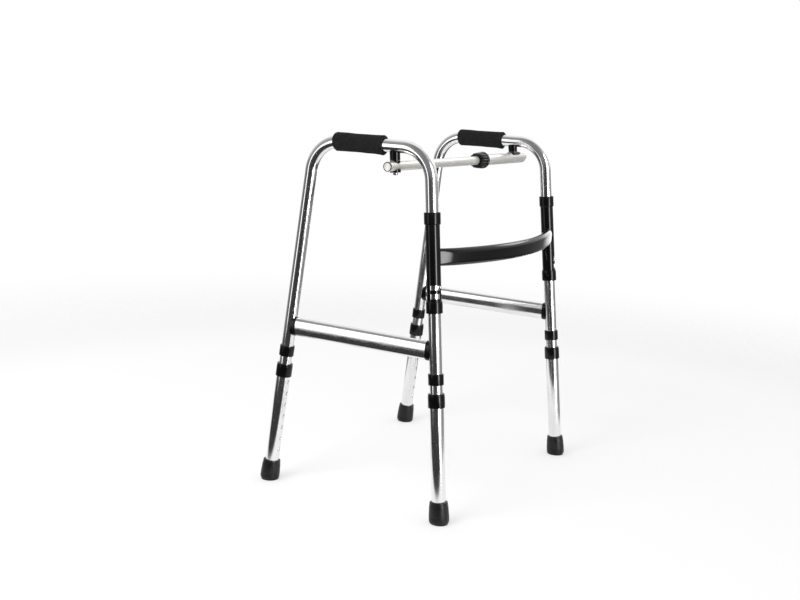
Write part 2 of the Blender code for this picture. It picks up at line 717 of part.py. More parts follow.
def brace(material):
    """Bowed flat-oval tube between the sleeves, its ends hollowed to fit them."""
    name = "front_brace"
    half = track(BRACE_HEIGHT)
    radius = (half * half + BRACE_BOW * BRACE_BOW) / (2.0 * BRACE_BOW)
    reach = math.asin(half / radius)
    centre_y = -leg_offset(BRACE_HEIGHT) - BRACE_BOW + radius
    outer, inner = [], []
    for k in range(BRACE_STEPS + 1):
        angle = -reach + 2.0 * reach * k / BRACE_STEPS
        out = Vector((math.sin(angle), -math.cos(angle), 0.0))
        centre = Vector((MIDDLE_X, centre_y, BRACE_HEIGHT)) + out * radius
        for rings, inset in ((outer, 0.0), (inner, BRACE_WALL)):
            section = oval(BRACE_THICK, BRACE_TALL, inset)
            rings.append([centre + out * a + Vector((0.0, 0.0, b)) for a, b in section])
    obj = place(name, loft(name, outer + inner[::-1], closed=True), Matrix.Identity(4), material)
    for side in (RIGHT, LEFT):
        hollow = cylinder_mesh("{}_hollow_{}".format(name, SIDE_NAMES[side]),
                               bore(SLEEVE_RADIUS + SEAT_GAP, SLEEVE_SIDES),
                               up_leg(BRACE_HEIGHT) - BRACE_TALL, up_leg(BRACE_HEIGHT) + BRACE_TALL, SLEEVE_SIDES)
        cut(obj, hollow, leg_frame(side, FRONT))


def fold_button(side, material, fold):
    name = "fold_button_" + SIDE_NAMES[side]
    matrix = radial_frame(leg_frame(side, FRONT), up_leg(FOLD_BUTTON_HEIGHT), (0.0, -1.0, 0.0))
    empty = joint_empty(name + "_slide", matrix, fold)
    mesh = button_mesh(name, FOLD_BUTTON_RADIUS, SLEEVE_RADIUS + FOLD_BUTTON_STAND, FRAME_RADIUS - TUBE_WALL)
    place(name, mesh, matrix, material, empty)


# Link

def pivot_frame(side):
    """Frame at a link pivot: Z up the bolt, parallel to the fold axis of that side."""
    return frame_along(link_pivot(side), leg_direction(side, FRONT))


def post_seat(side):
    """Height of a post's lower face above the link's centre line."""
    if side == RIGHT:
        return ROD_RADIUS + UPPER_SADDLE + SEAT_GAP
    return LINK_TUBE_RADIUS + TUBE_SADDLE + LINK_PIVOT_GAP


def link_post(side, material, parent):
    """Stub under the handle that carries an end of the link."""
    name = "link_post_" + SIDE_NAMES[side]
    seat = post_seat(side)
    top = (HANDLE_HEIGHT - LINK_HEIGHT) * LEG_STRETCH
    hole = bore(BOLT_RADIUS + SEAT_GAP, TUBE_SIDES)
    profile = [
        (hole, seat),
        (POST_RADIUS, seat),
        (POST_RADIUS, top),
        (0.0, top),
        (0.0, seat + BOLT_DEPTH),
        (hole, seat + BOLT_DEPTH),
    ]
    obj = place(name, turned(name, profile, TUBE_SIDES), pivot_frame(side), material, parent)
    handle = cylinder_mesh(name + "_handle_hollow", bore(FRAME_RADIUS + SEAT_GAP, TUBE_SIDES),
                           -POST_RADIUS - CUTTER_REACH, POST_RADIUS + CUTTER_REACH, TUBE_SIDES)
    centre = Vector((side_x(side, HANDLE_HEIGHT), POST_OFFSET, HANDLE_HEIGHT))
    cut(obj, handle, frame_along(centre, (0.0, 1.0, 0.0), (0.0, 0.0, 1.0)))


def pivot_hole(target, radius):
    """Bolt hole square through the link at the right pivot."""
    reach = ROD_RADIUS + CUTTER_REACH
    hole = cylinder_mesh(target.name + "_bolt_hole", bore(radius, BUTTON_SIDES), -reach, reach, BUTTON_SIDES)
    cut(target, hole, pivot_frame(RIGHT))


def link_rod(material, parent):
    name = "link_rod"
    mesh = tube_mesh(name, ROD_RADIUS, ROD_RADIUS - TUBE_WALL, -ROD_OVERHANG + ROD_CAP, rod_end(), TUBE_SIDES)
    obj = place(name, mesh, link_frame(), material, parent)
    pivot_hole(obj, BOLT_RADIUS + SLIDE_GAP)


def link_rod_cap(material, parent):
    """Flat plug in the open end of the rod."""
    name = "link_rod_cap"
    spigot = ROD_RADIUS - TUBE_WALL - SEAT_GAP
    profile = [
        (0.0, -ROD_OVERHANG),
        (ROD_RADIUS, -ROD_OVERHANG),
        (ROD_RADIUS, -ROD_OVERHANG + ROD_CAP - SEAT_GAP),
        (spigot, -ROD_OVERHANG + ROD_CAP - SEAT_GAP),
        (spigot, -ROD_OVERHANG + ROD_CAP + LINK_SPIGOT),
        (0.0, -ROD_OVERHANG + ROD_CAP + LINK_SPIGOT),
    ]
    place(name, turned(name, profile, TUBE_SIDES), link_frame(), material, parent)


def link_guide_bush(material, parent):
    """Plastic plug on the inner end of the rod that guides it in the link tube."""
    name = "link_guide_bush"
    spigot = ROD_RADIUS - TUBE_WALL - SEAT_GAP
    rim = LINK_TUBE_RADIUS - TUBE_WALL - SLIDE_GAP
    start = rod_end() + SEAT_GAP
    profile = [
        (0.0, start - LINK_SPIGOT),
        (spigot, start - LINK_SPIGOT),
        (spigot, start),
        (rim, start),
        (rim, start + GUIDE_LENGTH),
        (0.0, start + GUIDE_LENGTH),
    ]
    place(name, turned(name, profile, TUBE_SIDES), link_frame(), material, parent)


def saddle(name, outer, near, far, link_radius, matrix, material, parent):
    """Washer hollowed to sit on the link, between two heights along the bolt."""
    hole = bore(BOLT_RADIUS + SEAT_GAP, TUBE_SIDES)
    low, high = min(near, far), max(near, far)
    profile = [(hole, low), (outer, low), (outer, high), (hole, high)]
    obj = place(name, turned(name, profile, TUBE_SIDES), matrix, material, parent)
    reach = outer + CUTTER_REACH
    hollow = cylinder_mesh(name + "_hollow", bore(link_radius + SEAT_GAP, TUBE_SIDES), -reach, reach, TUBE_SIDES)
    cut(obj, hollow, link_frame())


def pivot_bolt(material, parent):
    name = "pivot_bolt"
    top = post_seat(RIGHT) + BOLT_DEPTH - SEAT_GAP
    bottom = -(ROD_RADIUS + LOWER_SADDLE + NUT_DEPTH)
    mesh = cylinder_mesh(name, BOLT_RADIUS, bottom, top, BUTTON_SIDES)
    place(name, mesh, pivot_frame(RIGHT), material, parent)


def pivot_nut(material, parent):
    """Domed nut under the lower saddle."""
    name = "pivot_nut"
    face = -(ROD_RADIUS + LOWER_SADDLE + SEAT_GAP)
    hole = bore(BOLT_RADIUS + SEAT_GAP, BUTTON_SIDES)
    profile = [
        (0.0, face - NUT_HEIGHT),
        (NUT_CROWN_RADIUS, face - NUT_HEIGHT + NUT_CROWN),
        (NUT_RADIUS, face - NUT_SHOULDER),
        (NUT_RADIUS, face),
        (hole, face),
        (hole, face - NUT_DEPTH),
        (0.0, face - NUT_DEPTH),
    ]
    place(name, turned(name, profile, BUTTON_SIDES), pivot_frame(RIGHT), material, parent)


def link_tube(material, parent):
    name = "link_tube"
    end = link_length()
    mesh = tube_mesh(name, LINK_TUBE_RADIUS, LINK_TUBE_RADIUS - TUBE_WALL, end - LINK_TUBE_MOUTH,
                     end + LINK_TUBE_OVERHANG - LINK_CAP, TUBE_SIDES)
    place(name, mesh, link_frame(), material, parent)


def link_tube_cap(material, parent):
    """Tapered plug that closes the outer end of the link tube."""
    name = "link_tube_cap"
    end = link_length() + LINK_TUBE_OVERHANG
    start = end - LINK_CAP + SEAT_GAP
    spigot = LINK_TUBE_RADIUS - TUBE_WALL - SEAT_GAP
    profile = [
        (0.0, start - LINK_SPIGOT),
        (spigot, start - LINK_SPIGOT),
        (spigot, start),
        (LINK_TUBE_RADIUS, start),
        (LINK_CAP_RADIUS, end - LINK_CAP_EDGE),
        (LINK_CAP_RADIUS - LINK_CAP_EDGE, end),
        (0.0, end),
    ]
    place(name, turned(name, profile, TUBE_SIDES), link_frame(), material, parent)


def link_tube_saddle(material, parent):
    """Long saddle on top of the link tube, under the left post."""
    name = "link_tube_saddle"
    top = post_seat(LEFT) - LINK_PIVOT_GAP
    base = oval(TUBE_SADDLE_WIDTH, TUBE_SADDLE_LENGTH)
    crown = oval(TUBE_SADDLE_WIDTH - 2 * TUBE_SADDLE, TUBE_SADDLE_TOP_LENGTH)
    skirt = LINK_TUBE_RADIUS - SADDLE_WRAP
    turn = Matrix.Rotation(math.pi / 2.0, 4, "Z")
    rings = [
        [Vector((x, y, skirt)) for x, y in base],
        [Vector((x, y, skirt + TUBE_SADDLE_SKIRT)) for x, y in base],
        [Vector((x, y, top)) for x, y in crown],
    ]
    obj = place(name, loft(name, rings), pivot_frame(LEFT) @ turn, material, parent)
    hollow = cylinder_mesh(name + "_hollow", bore(LINK_TUBE_RADIUS + SEAT_GAP, TUBE_SIDES),
                           link_length() - TUBE_SADDLE_LENGTH, link_length() + TUBE_SADDLE_LENGTH, TUBE_SIDES)
    cut(obj, hollow, link_frame())


def link_collet(material, parent):
    """Slit ring at the mouth of the link tube that the clamp nut closes on the rod."""
    name = "link_collet"
    back = link_length() - LINK_TUBE_MOUTH - SEAT_GAP
    front = back - COLLET_LENGTH
    inner = bore(ROD_RADIUS + SEAT_GAP, TUBE_SIDES)
    profile = [
        (inner, front),
        (LINK_TUBE_RADIUS - TUBE_WALL, front),
        (LINK_TUBE_RADIUS, front + COLLET_TAPER),
        (LINK_TUBE_RADIUS, back),
        (inner, back),
    ]
    obj = place(name, turned(name, profile, TUBE_SIDES), link_frame(), material, parent)
    for k in range(COLLET_SLITS):
        slit = cylinder_mesh("{}_slit_{}".format(name, k + 1), 1.0, -1.0, 1.0, 4)
        size = Matrix.Diagonal((LINK_TUBE_RADIUS * 2.0, COLLET_SLIT / math.sqrt(2.0), COLLET_SLIT_DEPTH, 1.0))
        square = Matrix.Rotation(math.pi / 4.0, 4, "Z")
        slit.transform(Matrix.Rotation(math.pi * k / COLLET_SLITS, 4, "Z") @ size @ square)
        cut(obj, slit, link_frame() @ Matrix.Translation((0.0, 0.0, front)))


def clamp_ring(radius, height, ribbed):
    """Ring of the clamp nut, with grooves between its ribs where it is ribbed."""
    sides = CLAMP_RIBS * 2
    step = 2.0 * math.pi / sides
    ring = []
    for k in range(sides):
        r = radius - (CLAMP_RIB_DEPTH if ribbed and k % 2 else 0.0)
        ring.append(Vector((r * math.cos(k * step), r * math.sin(k * step), height)))
    return ring


def clamp_nut(material, parent):
    """Tapered, ribbed nut that locks the length of the link."""
    name = "clamp_nut"
    front, back = link_length() - CLAMP_FRONT, link_length() - CLAMP_BACK
    neck = back - CLAMP_RIM
    sides = CLAMP_RIBS * 2
    rod_bore = bore(ROD_RADIUS + SLIDE_GAP, sides)
    cavity = bore(LINK_TUBE_RADIUS + SEAT_GAP, sides)
    rings = [
        clamp_ring(rod_bore, front, False),
        clamp_ring(CLAMP_FRONT_RADIUS, front, True),
        clamp_ring(CLAMP_RADIUS, neck - CLAMP_RIB_DEPTH, True),
        clamp_ring(CLAMP_RADIUS - CLAMP_RIB_DEPTH, neck, False),
        clamp_ring(CLAMP_RADIUS, neck + CLAMP_RIB_DEPTH, False),
        clamp_ring(CLAMP_RADIUS, back - CLAMP_RIB_DEPTH, False),
        clamp_ring(CLAMP_RADIUS - CLAMP_RIB_DEPTH, back, False),
        clamp_ring(cavity, back, False),
        clamp_ring(cavity, front + CLAMP_LIP, False),
        clamp_ring(rod_bore, front + CLAMP_LIP, False),
    ]
    place(name, loft(name, rings, closed=True), link_frame(), material, parent)


# Assembly

def build_side(side, materials):
    fold = joint_empty("fold_axis_" + SIDE_NAMES[side], leg_frame(side, FRONT))
    frame_tube(side, materials["aluminium"], fold)
    grip(side, materials["foam"], fold)
    cross_tube(side, materials["aluminium"], fold)
    link_post(side, materials["plastic"], fold)
    for end in (FRONT, REAR):
        cross_saddle(side, end, materials["plastic"], fold)
        leg(side, end, materials, fold)
    fold_button(side, materials["steel"], fold)
    return fold


def build_brace(materials):
    brace(materials["black_paint"])
    for side in (RIGHT, LEFT):
        sleeve(side, materials["black_paint"])
        sleeve_bush(side, "top", materials["plastic"])
        sleeve_bush(side, "bottom", materials["plastic"])


def build_link(materials, right_fold):
    swing = joint_empty("link_swing_axis", pivot_frame(RIGHT), right_fold)
    pivot_bolt(materials["steel"], right_fold)
    link_rod(materials["pale_metal"], swing)
    link_rod_cap(materials["plastic"], swing)
    link_guide_bush(materials["plastic"], swing)
    saddle("pivot_upper_saddle", POST_RADIUS, ROD_RADIUS - SADDLE_WRAP, ROD_RADIUS + UPPER_SADDLE, ROD_RADIUS,
           pivot_frame(RIGHT), materials["plastic"], swing)
    saddle("pivot_lower_saddle", LOWER_SADDLE_RADIUS, -(ROD_RADIUS - SADDLE_WRAP), -(ROD_RADIUS + LOWER_SADDLE),
           ROD_RADIUS, pivot_frame(RIGHT), materials["plastic"], swing)
    pivot_nut(materials["steel"], right_fold)
    slide = joint_empty("link_slide_axis", link_frame(), swing)
    link_tube(materials["pale_metal"], slide)
    link_tube_cap(materials["grey_plastic"], slide)
    link_tube_saddle(materials["plastic"], slide)
    link_collet(materials["plastic"], slide)
    turn = joint_empty("clamp_nut_axis", link_frame(), slide)
    clamp_nut(materials["plastic"], turn)


def build():
    clear_scene()
    materials = {
        "aluminium": make_material("bright_aluminium", (0.80, 0.80, 0.82), 0.18, 1.0),
        "pale_metal": make_material("pale_link_metal", (0.82, 0.81, 0.78), 0.30, 1.0),
        "steel": make_material("button_steel", (0.72, 0.66, 0.52), 0.25, 1.0),
        "black_paint": make_material("gloss_black_paint", (0.012, 0.012, 0.014), 0.12, 0.0),
        "plastic": make_material("black_plastic", (0.020, 0.020, 0.021), 0.42, 0.0),
        "grey_plastic": make_material("grey_plastic", (0.42, 0.42, 0.42), 0.45, 0.0),
        "foam": make_material("black_foam", (0.018, 0.018, 0.018), 0.90, 0.0),
        "rubber": make_material("black_rubber", (0.030, 0.030, 0.030), 0.70, 0.0),
    }
    build_brace(materials)
    folds = {side: build_side(side, materials) for side in (RIGHT, LEFT)}
    build_link(materials, folds[RIGHT])


build()
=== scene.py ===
"""Looks of the folding walking frame: fine versions of its pieces, materials, studio and camera.

Metres, +Z up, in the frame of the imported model: -Y is the front, with the brace, and -X the user's right.
"""
import json
from math import asin, atan, copysign, cos, pi, radians, sin, sqrt, tan, tau

import bmesh
import bpy
from mathutils import Matrix, Vector, noise

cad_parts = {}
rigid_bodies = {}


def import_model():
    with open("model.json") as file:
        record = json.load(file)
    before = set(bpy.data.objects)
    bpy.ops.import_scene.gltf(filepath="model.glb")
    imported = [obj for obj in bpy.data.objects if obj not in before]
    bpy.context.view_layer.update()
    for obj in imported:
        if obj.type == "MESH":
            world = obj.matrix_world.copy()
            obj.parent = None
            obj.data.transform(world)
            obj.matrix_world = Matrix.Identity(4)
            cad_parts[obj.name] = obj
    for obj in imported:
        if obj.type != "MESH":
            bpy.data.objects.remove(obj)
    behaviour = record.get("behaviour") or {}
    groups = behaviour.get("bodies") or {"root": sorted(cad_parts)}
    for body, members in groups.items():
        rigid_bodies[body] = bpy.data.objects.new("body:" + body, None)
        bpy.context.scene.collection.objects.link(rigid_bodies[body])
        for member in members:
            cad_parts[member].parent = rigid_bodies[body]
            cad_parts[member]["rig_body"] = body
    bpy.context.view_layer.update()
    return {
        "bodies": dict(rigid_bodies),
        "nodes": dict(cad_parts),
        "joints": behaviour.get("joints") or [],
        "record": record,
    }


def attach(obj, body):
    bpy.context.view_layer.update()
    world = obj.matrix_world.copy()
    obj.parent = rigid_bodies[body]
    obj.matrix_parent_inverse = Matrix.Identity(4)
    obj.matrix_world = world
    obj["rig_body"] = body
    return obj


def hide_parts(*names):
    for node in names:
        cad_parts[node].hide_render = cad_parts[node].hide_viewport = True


# Sides and ends
RIGHT, LEFT = -1, 1
FRONT, REAR = -1, 1
SIDE_NAMES = {RIGHT: "right", LEFT: "left"}
END_NAMES = {FRONT: "front", REAR: "rear"}

# Camera of the photograph
CAMERA_PLACE = (-2.23717, -1.2534, 0.8610)
CAMERA_YAW = radians(-59.2329)
CAMERA_PITCH = radians(-10.6385)
CAMERA_ROLL = radians(2.8088)
LENS_MM = 52.603
SENSOR_MM = 36.0

# Stance: leg axes at the floor, and how far they lean for each metre of height
HALF_TRACK = 0.2847
HALF_BASE = 0.21145
SPLAY = 0.0293
LEAN = 0.1037
HANDLE_HEIGHT = 0.734
BEND_RADIUS = 0.067

# Clearances, and how far cutters run past what they cut
SEAT_GAP = 0.0003
SLIDE_GAP = 0.0004
LINK_PIVOT_GAP = 0.0006
CUTTER_REACH = 0.006

# Rounded edges that several pieces share
HAIR_EDGE = 0.0002
FINE_EDGE = 0.0003
SMALL_EDGE = 0.0004
MOUTH_EDGE = 0.0005
SOFT_EDGE = 0.0006
ROUND_EDGE = 0.0012
FULL_EDGE = 0.0014
BROAD_EDGE = 0.002

# Fineness of the meshes
ROUND_SIDES = 64
SMALL_SIDES = 32
LARGE_SIDES = 96
GROUND_SIDES = 8
BEND_STEPS = 36
EASE_STEPS = 4
SMOOTH_ANGLE = radians(40.0)
ON_AXIS = 1e-7

# Side frame tube
FRAME_RADIUS = 0.0127
TUBE_WALL = 0.0012
FRAME_BORE = FRAME_RADIUS - TUBE_WALL
FRAME_SEAT = FRAME_RADIUS + SEAT_GAP

# Leg parts, heights above the floor
CONNECTOR_TOP = 0.2993
CONNECTOR_WEB_TOP = 0.283
CONNECTOR_BOTTOM = 0.2771
CONNECTOR_RADIUS = 0.0155
CONNECTOR_PLUG = 0.006
HEIGHT_TUBE_BOTTOM = 0.058
LEG_TUBE_RADIUS = 0.0143
LEG_TUBE_BOTTOM = 0.012
LEG_COLLAR_TOP = 0.26
LEG_COLLAR_BOTTOM = 0.2321
LEG_COLLAR_RADIUS = 0.017
LEG_COLLAR_LIP = 0.0035
LEG_COLLAR_RIM = 0.0048
LEG_COLLAR_STEP = 0.0004
LEG_COLLAR_TOP_EDGE = 0.0018

# Height holes, snap buttons
HOLE_COUNT = 7
HOLE_PITCH = 0.0254
FIRST_HOLE = 0.07
HOLE_RADIUS = 0.004
HEIGHT_BUTTON_RADIUS = 0.0036
HEIGHT_BUTTON_STAND = 0.0015
BUTTON_FLANGE_RADIUS = 0.0055
BUTTON_FLANGE = 0.0012
BUTTON_DOME = 0.7
BUTTON_STEPS = 8

# Feet: the sole's corners are (distance in from the base radius, height, rounding)
FOOT_TOP = 0.0436
FOOT_BASE_RADIUS = 0.0205
FOOT_TOP_RADIUS = 0.0188
FOOT_SOLE = ((0.0030, -0.0004), (0.0010, 0.0024, 0.0020), (0.0, 0.0062, 0.0015))
FOOT_GROOVES = (0.0078, 0.0122)
FOOT_GROOVE_DEPTH = 0.0007
FOOT_GROOVE_STEP = 0.0006
FOOT_CONE_BOTTOM = 0.015
FOOT_CONE_EDGE = 0.004
FOOT_RIM = 0.0078
FOOT_RIM_BEVEL = 0.0006
FOOT_RIM_INSET = 0.0005
FOOT_MOUTH_EDGE = 0.0008

# Front brace and its sleeves
BRACE_HEIGHT = 0.5256
BRACE_BOW = 0.062
BRACE_TALL = 0.0345
BRACE_THICK = 0.02
BRACE_WALL = 0.0015
BRACE_STEPS = 120
BRACE_TAPER_LENGTH = 0.042
BRACE_TAPER_DEPTH = 0.0084
BRACE_TAPER_EASE = 0.3
OVAL_STEPS = 20
SLEEVE_RADIUS = 0.0145
SLEEVE_WALL = 0.0013
SLEEVE_SOCKET = 0.0103
TOP_BUSH_BOTTOM = 0.5895
TOP_BUSH_TOP = 0.6135
TOP_BUSH_CONE = 0.002
BUSH_RADIUS = 0.0165
BUSH_LIP = 0.0006
BUSH_EDGE = 0.0016

# Fold buttons, the sleeve slots that they run in, and the bottom bush below the slots
FOLD_BUTTON_HEIGHT = 0.4688
FOLD_BUTTON_RADIUS = 0.003
FOLD_BUTTON_STAND = 0.0027
SLOT_ABOVE_BUTTON = 0.0009
BUTTON_SLOT_TALL = 0.0093
SLOT_LAND = 0.0068
LOWER_SLOT_TALL = 0.0101
SLOT_INWARD = radians(14.0)
SLOT_OUTWARD = radians(98.0)
BOTTOM_BUSH_DROP = 0.004
BOTTOM_BUSH_LENGTH = 0.0247
BOTTOM_BUSH_CONE = 0.004
BUTTON_SLOT_TOP = FOLD_BUTTON_HEIGHT + FOLD_BUTTON_RADIUS + SLOT_ABOVE_BUTTON
BUTTON_SLOT_BOTTOM = BUTTON_SLOT_TOP - BUTTON_SLOT_TALL
LOWER_SLOT_TOP = BUTTON_SLOT_BOTTOM - SLOT_LAND
LOWER_SLOT_BOTTOM = LOWER_SLOT_TOP - LOWER_SLOT_TALL
BOTTOM_BUSH_TOP = LOWER_SLOT_BOTTOM - BOTTOM_BUSH_DROP

# Lower cross tubes
CROSS_HEIGHT = 0.3425
CROSS_TALL = 0.038
CROSS_THICK = 0.02
CROSS_SADDLE = 0.0055
CROSS_SADDLE_EDGE = 0.001
CROSS_SADDLE_INNER = 0.3 * FRAME_RADIUS
CROSS_SQUARENESS = 2.7
CROSS_SIDES = 72

# Grips, along the tube's own path from the middle of the handle; the noise is (scale, share) of each layer
GRIP_RADIUS = 0.02
GRIP_FRONT = 0.0287
GRIP_LENGTH = 0.113
GRIP_FRONT_EDGE = 0.0009
GRIP_REAR_EDGE = 0.0048
GRIP_WAIST = 0.0008
GRIP_FLARE = 0.0007
GRIP_FLARE_LENGTH = 0.012
GRIP_UNEVEN = 0.0007
GRIP_NOISE = ((45.0, 0.8), (200.0, 0.2))
GRIP_STEPS = 90

# Telescoping link between the two frames
LINK_DROP = 0.039
LINK_HEIGHT = HANDLE_HEIGHT - LINK_DROP
POST_OFFSET = -0.058
POST_RADIUS = 0.0104
POST_GROOVES = 3
POST_GROOVE = 0.0012
POST_GROOVE_START = 0.0018
POST_GROOVE_PITCH = 0.0036
ROD_RADIUS = 0.0095
ROD_OVERHANG = 0.03
ROD_ENGAGEMENT = 0.0416
ROD_CAP = 0.002
ROD_CAP_RIM = 0.0016
ROD_CAP_FACE = ROD_RADIUS - ROD_CAP_RIM
ROD_CAP_DISH = 0.0004 - ROD_OVERHANG
ROD_CAP_HOLLOW = 0.0014
LINK_TUBE_RADIUS = 0.012
LINK_TUBE_OVERHANG = 0.057
LINK_TUBE_MOUTH = 0.1653
LINK_CAP = 0.015
LINK_CAP_RADIUS = 0.0074
LINK_SPIGOT = 0.01
UPPER_SADDLE = 0.002
LOWER_SADDLE = 0.003
LOWER_SADDLE_RADIUS = 0.011
SADDLE_WRAP = 0.0035
BOLT_RADIUS = 0.003
BOLT_DEPTH = 0.008
NUT_RADIUS = 0.005
NUT_CROWN_RADIUS = 0.75 * NUT_RADIUS
NUT_HEIGHT = 0.005
NUT_SHOULDER = 0.45 * NUT_HEIGHT
NUT_SHOULDER_EDGE = 0.001
NUT_DEPTH = 0.8 * NUT_HEIGHT
TUBE_SADDLE_LENGTH = 0.04
TUBE_SADDLE_TOP_LENGTH = 0.027
TUBE_SADDLE_WIDTH = 0.022
TUBE_SADDLE_TOP_WIDTH = 0.0188
TUBE_SADDLE_CORNER = 0.0024
TUBE_SADDLE = 0.0016

# Clamp nut of the link
CLAMP_FRONT = 0.1893
CLAMP_BACK = 0.1553
CLAMP_RIM = 0.006
CLAMP_FRONT_RADIUS = 0.0165
CLAMP_RADIUS = 0.0185
CLAMP_LIP = 0.005
CLAMP_EDGE = 0.0008
CLAMP_RIBS = 16
CLAMP_RIB_DEPTH = 0.0024
CLAMP_RIB_STEPS = 12
CLAMP_RIB_WIDTH = 1.5

LEG_STRETCH = sqrt(1.0 + SPLAY * SPLAY + LEAN * LEAN)
SIDE_STRETCH = sqrt(1.0 + SPLAY * SPLAY)
LEAN_ANGLE = atan(LEAN)
MIDDLE_X = (FOOT_BASE_RADIUS + SPLAY * LINK_HEIGHT - LINK_TUBE_OVERHANG) / 2.0

# Colour of each material where it is fresh and where it is worn
TINTS = {
    "polished_aluminium": ((0.92, 0.92, 0.93), (0.87, 0.87, 0.88)),
    "pale_metal": ((0.90, 0.885, 0.84), (0.86, 0.84, 0.79)),
    "gloss_black": ((0.0030, 0.0028, 0.0028), (0.0065, 0.0055, 0.0055)),
    "black_plastic": ((0.0028, 0.0028, 0.0030), (0.0055, 0.0055, 0.0055)),
    "grey_plastic": ((0.48, 0.48, 0.47), (0.40, 0.40, 0.39)),
    "foam": ((0.0085, 0.0085, 0.0088), (0.0195, 0.0195, 0.0200)),
    "rubber": ((0.0045, 0.0045, 0.0048), (0.0085, 0.0083, 0.0080)),
    "button_metal": ((0.80, 0.80, 0.79), (0.66, 0.65, 0.63)),
    "plated_steel": ((0.62, 0.62, 0.62), (0.48, 0.47, 0.46)),
}

# Floor, and from where to where each part of it fades
FLOOR_RADIUS = 6.0
FLOOR_MIDDLE = -0.0052
FLOOR_THICK = 0.01
FLOOR_FADE = (1.2, 2.8)
SHEET_MIDDLE = (-0.24, 0.0, 0.0)
SHEET_FADE = (0.87, 1.05)
APRON_TURN = radians(278.0)
APRON_START = (0.40, 0.48)
APRON_FADE = (2.20, 2.50)

# How light the floor is, how much darker to the camera and in the apron, and how far it and its sheet glow
FLOOR_LIGHT = 0.9
CAMERA_DARKER = 0.34
APRON_DARKER = 0.86
CAMERA_GLOW = 0.49
SHEET_GLOW = 0.1

# Brightness of the studio in reflections, by the angle in degrees from +Y towards +X
WALLS = (
    (0, 0.25), (20, 0.45), (45, 0.62), (76, 0.56), (94, 0.26), (115, 0.24), (135, 0.24), (150, 0.30),
    (170, 0.62), (188, 0.75), (206, 0.72), (216, 0.35), (228, 0.060), (242, 0.035), (262, 0.045),
    (280, 0.075), (296, 0.090), (310, 0.110), (330, 0.130), (345, 0.165), (360, 0.25),
)
SKY = (
    (0, 0.55), (20, 0.80), (40, 0.90), (120, 0.90), (150, 0.62), (190, 0.50), (215, 0.28),
    (240, 0.20), (280, 0.22), (320, 0.30), (345, 0.42), (360, 0.55),
)
# Bright windows of the studio: from and to azimuth and their softness, the same for the rise, and brightness
WINDOWS = (
    (191, 202, 4, -32, 35, 10, 11.0),
    (298, 306, 5, -27, 22, 7, 1.6),
    (72, 86, 10, -6, 10, 6, 1.5),
    (88, 112, 6, 27, 33, 4, 3.4),
)
# Rise in degrees between which the walls come up from their darker foot, and turn into the sky
WALL_RISE = (-24, -13)
WALL_FOOT = 0.4
SKY_RISE = (-1, 14)
EVEN_LIGHT = 0.72

# Lamp that lights matt surfaces
LAMP_PLACE = (-2.6, 0.6, 2.4)
LAMP_TARGET = (0.0, 0.0, 0.35)
LAMP_SIZE = 1.6
LAMP_POWER = 42.0


# Frames of reference

def frame_along(origin, direction, near_y=(0, 1, 0)):
    """A frame at origin with its Z along direction and its Y as close to near_y as it can be."""
    z = Vector(direction).normalized()
    x = Vector(near_y).cross(z).normalized()
    y = z.cross(x)
    return Matrix.Translation(origin) @ Matrix((x, y, z)).transposed().to_4x4()


def leg_direction(side, end):
    return Vector((-side * SPLAY, -end * LEAN, 1)).normalized()


def leg_frame(side, end):
    """Z runs up the leg from its foot on the floor, Y stays in the plane of the side frame."""
    return frame_along((MIDDLE_X + side * HALF_TRACK, end * HALF_BASE, 0), leg_direction(side, end))


def side_frame(side):
    """Y runs from front to rear and Z up the splayed plane that holds both legs and the handle."""
    return frame_along((MIDDLE_X + side * HALF_TRACK, 0, 0), (-side * SPLAY, 0, 1))


def up_leg(height):
    return height * LEG_STRETCH


def up_side(height):
    return height * SIDE_STRETCH


def track(height):
    """Half the distance between the two side frames at a height."""
    return HALF_TRACK - SPLAY * height


def side_x(side, height):
    return MIDDLE_X + side * track(height)


def leg_offset(height):
    """Half the distance between the two leg axes of a side frame at a height."""
    return HALF_BASE - LEAN * height


def link_pivot(side):
    return Vector((side_x(side, LINK_HEIGHT), POST_OFFSET, LINK_HEIGHT))


def link_length():
    return (link_pivot(LEFT) - link_pivot(RIGHT)).length


def link_frame():
    """Z runs from the right pivot to the left one, Y lies across the pivot bolt."""
    start = link_pivot(RIGHT)
    along = link_pivot(LEFT) - start
    return frame_along(start, along, leg_direction(RIGHT, FRONT).cross(along))


def pivot_frame(side):
    """Frame at a link pivot: Z up the bolt, parallel to the fold axis of that side."""
    return frame_along(link_pivot(side), leg_direction(side, FRONT))


def radial_frame(height, way):
    """A frame at a height on a leg, in the leg's own frame, with Z out of the tube along -Y or +Y."""
    return frame_along((0, 0, height), (0, way, 0), (0, 0, 1))


# Shapes

def circle(radius, sides, height):
    step = tau / sides
    return [Vector((radius * cos(k * step), radius * sin(k * step), height)) for k in range(sides)]


def oval(thick, tall, inset):
    """Flat-sided oval with round ends: points (across, up), thick across and tall up."""
    radius = thick / 2 - inset
    reach = tall / 2 - thick / 2
    points = []
    for centre, start in ((reach, 0), (-reach, pi)):
        for k in range(OVAL_STEPS + 1):
            angle = start + pi * k / OVAL_STEPS
            points.append((radius * cos(angle), centre + radius * sin(angle)))
    return points


def squared_oval(inset):
    """Section of the cross tubes, between an ellipse and a rectangle: points (across, up)."""
    power = 2 / CROSS_SQUARENESS
    points = []
    for k in range(CROSS_SIDES):
        angle = tau * k / CROSS_SIDES
        across, up = cos(angle), sin(angle)
        points.append((copysign(abs(across) ** power, across) * (CROSS_THICK / 2 - inset),
                       copysign(abs(up) ** power, up) * (CROSS_TALL / 2 - inset)))
    return points


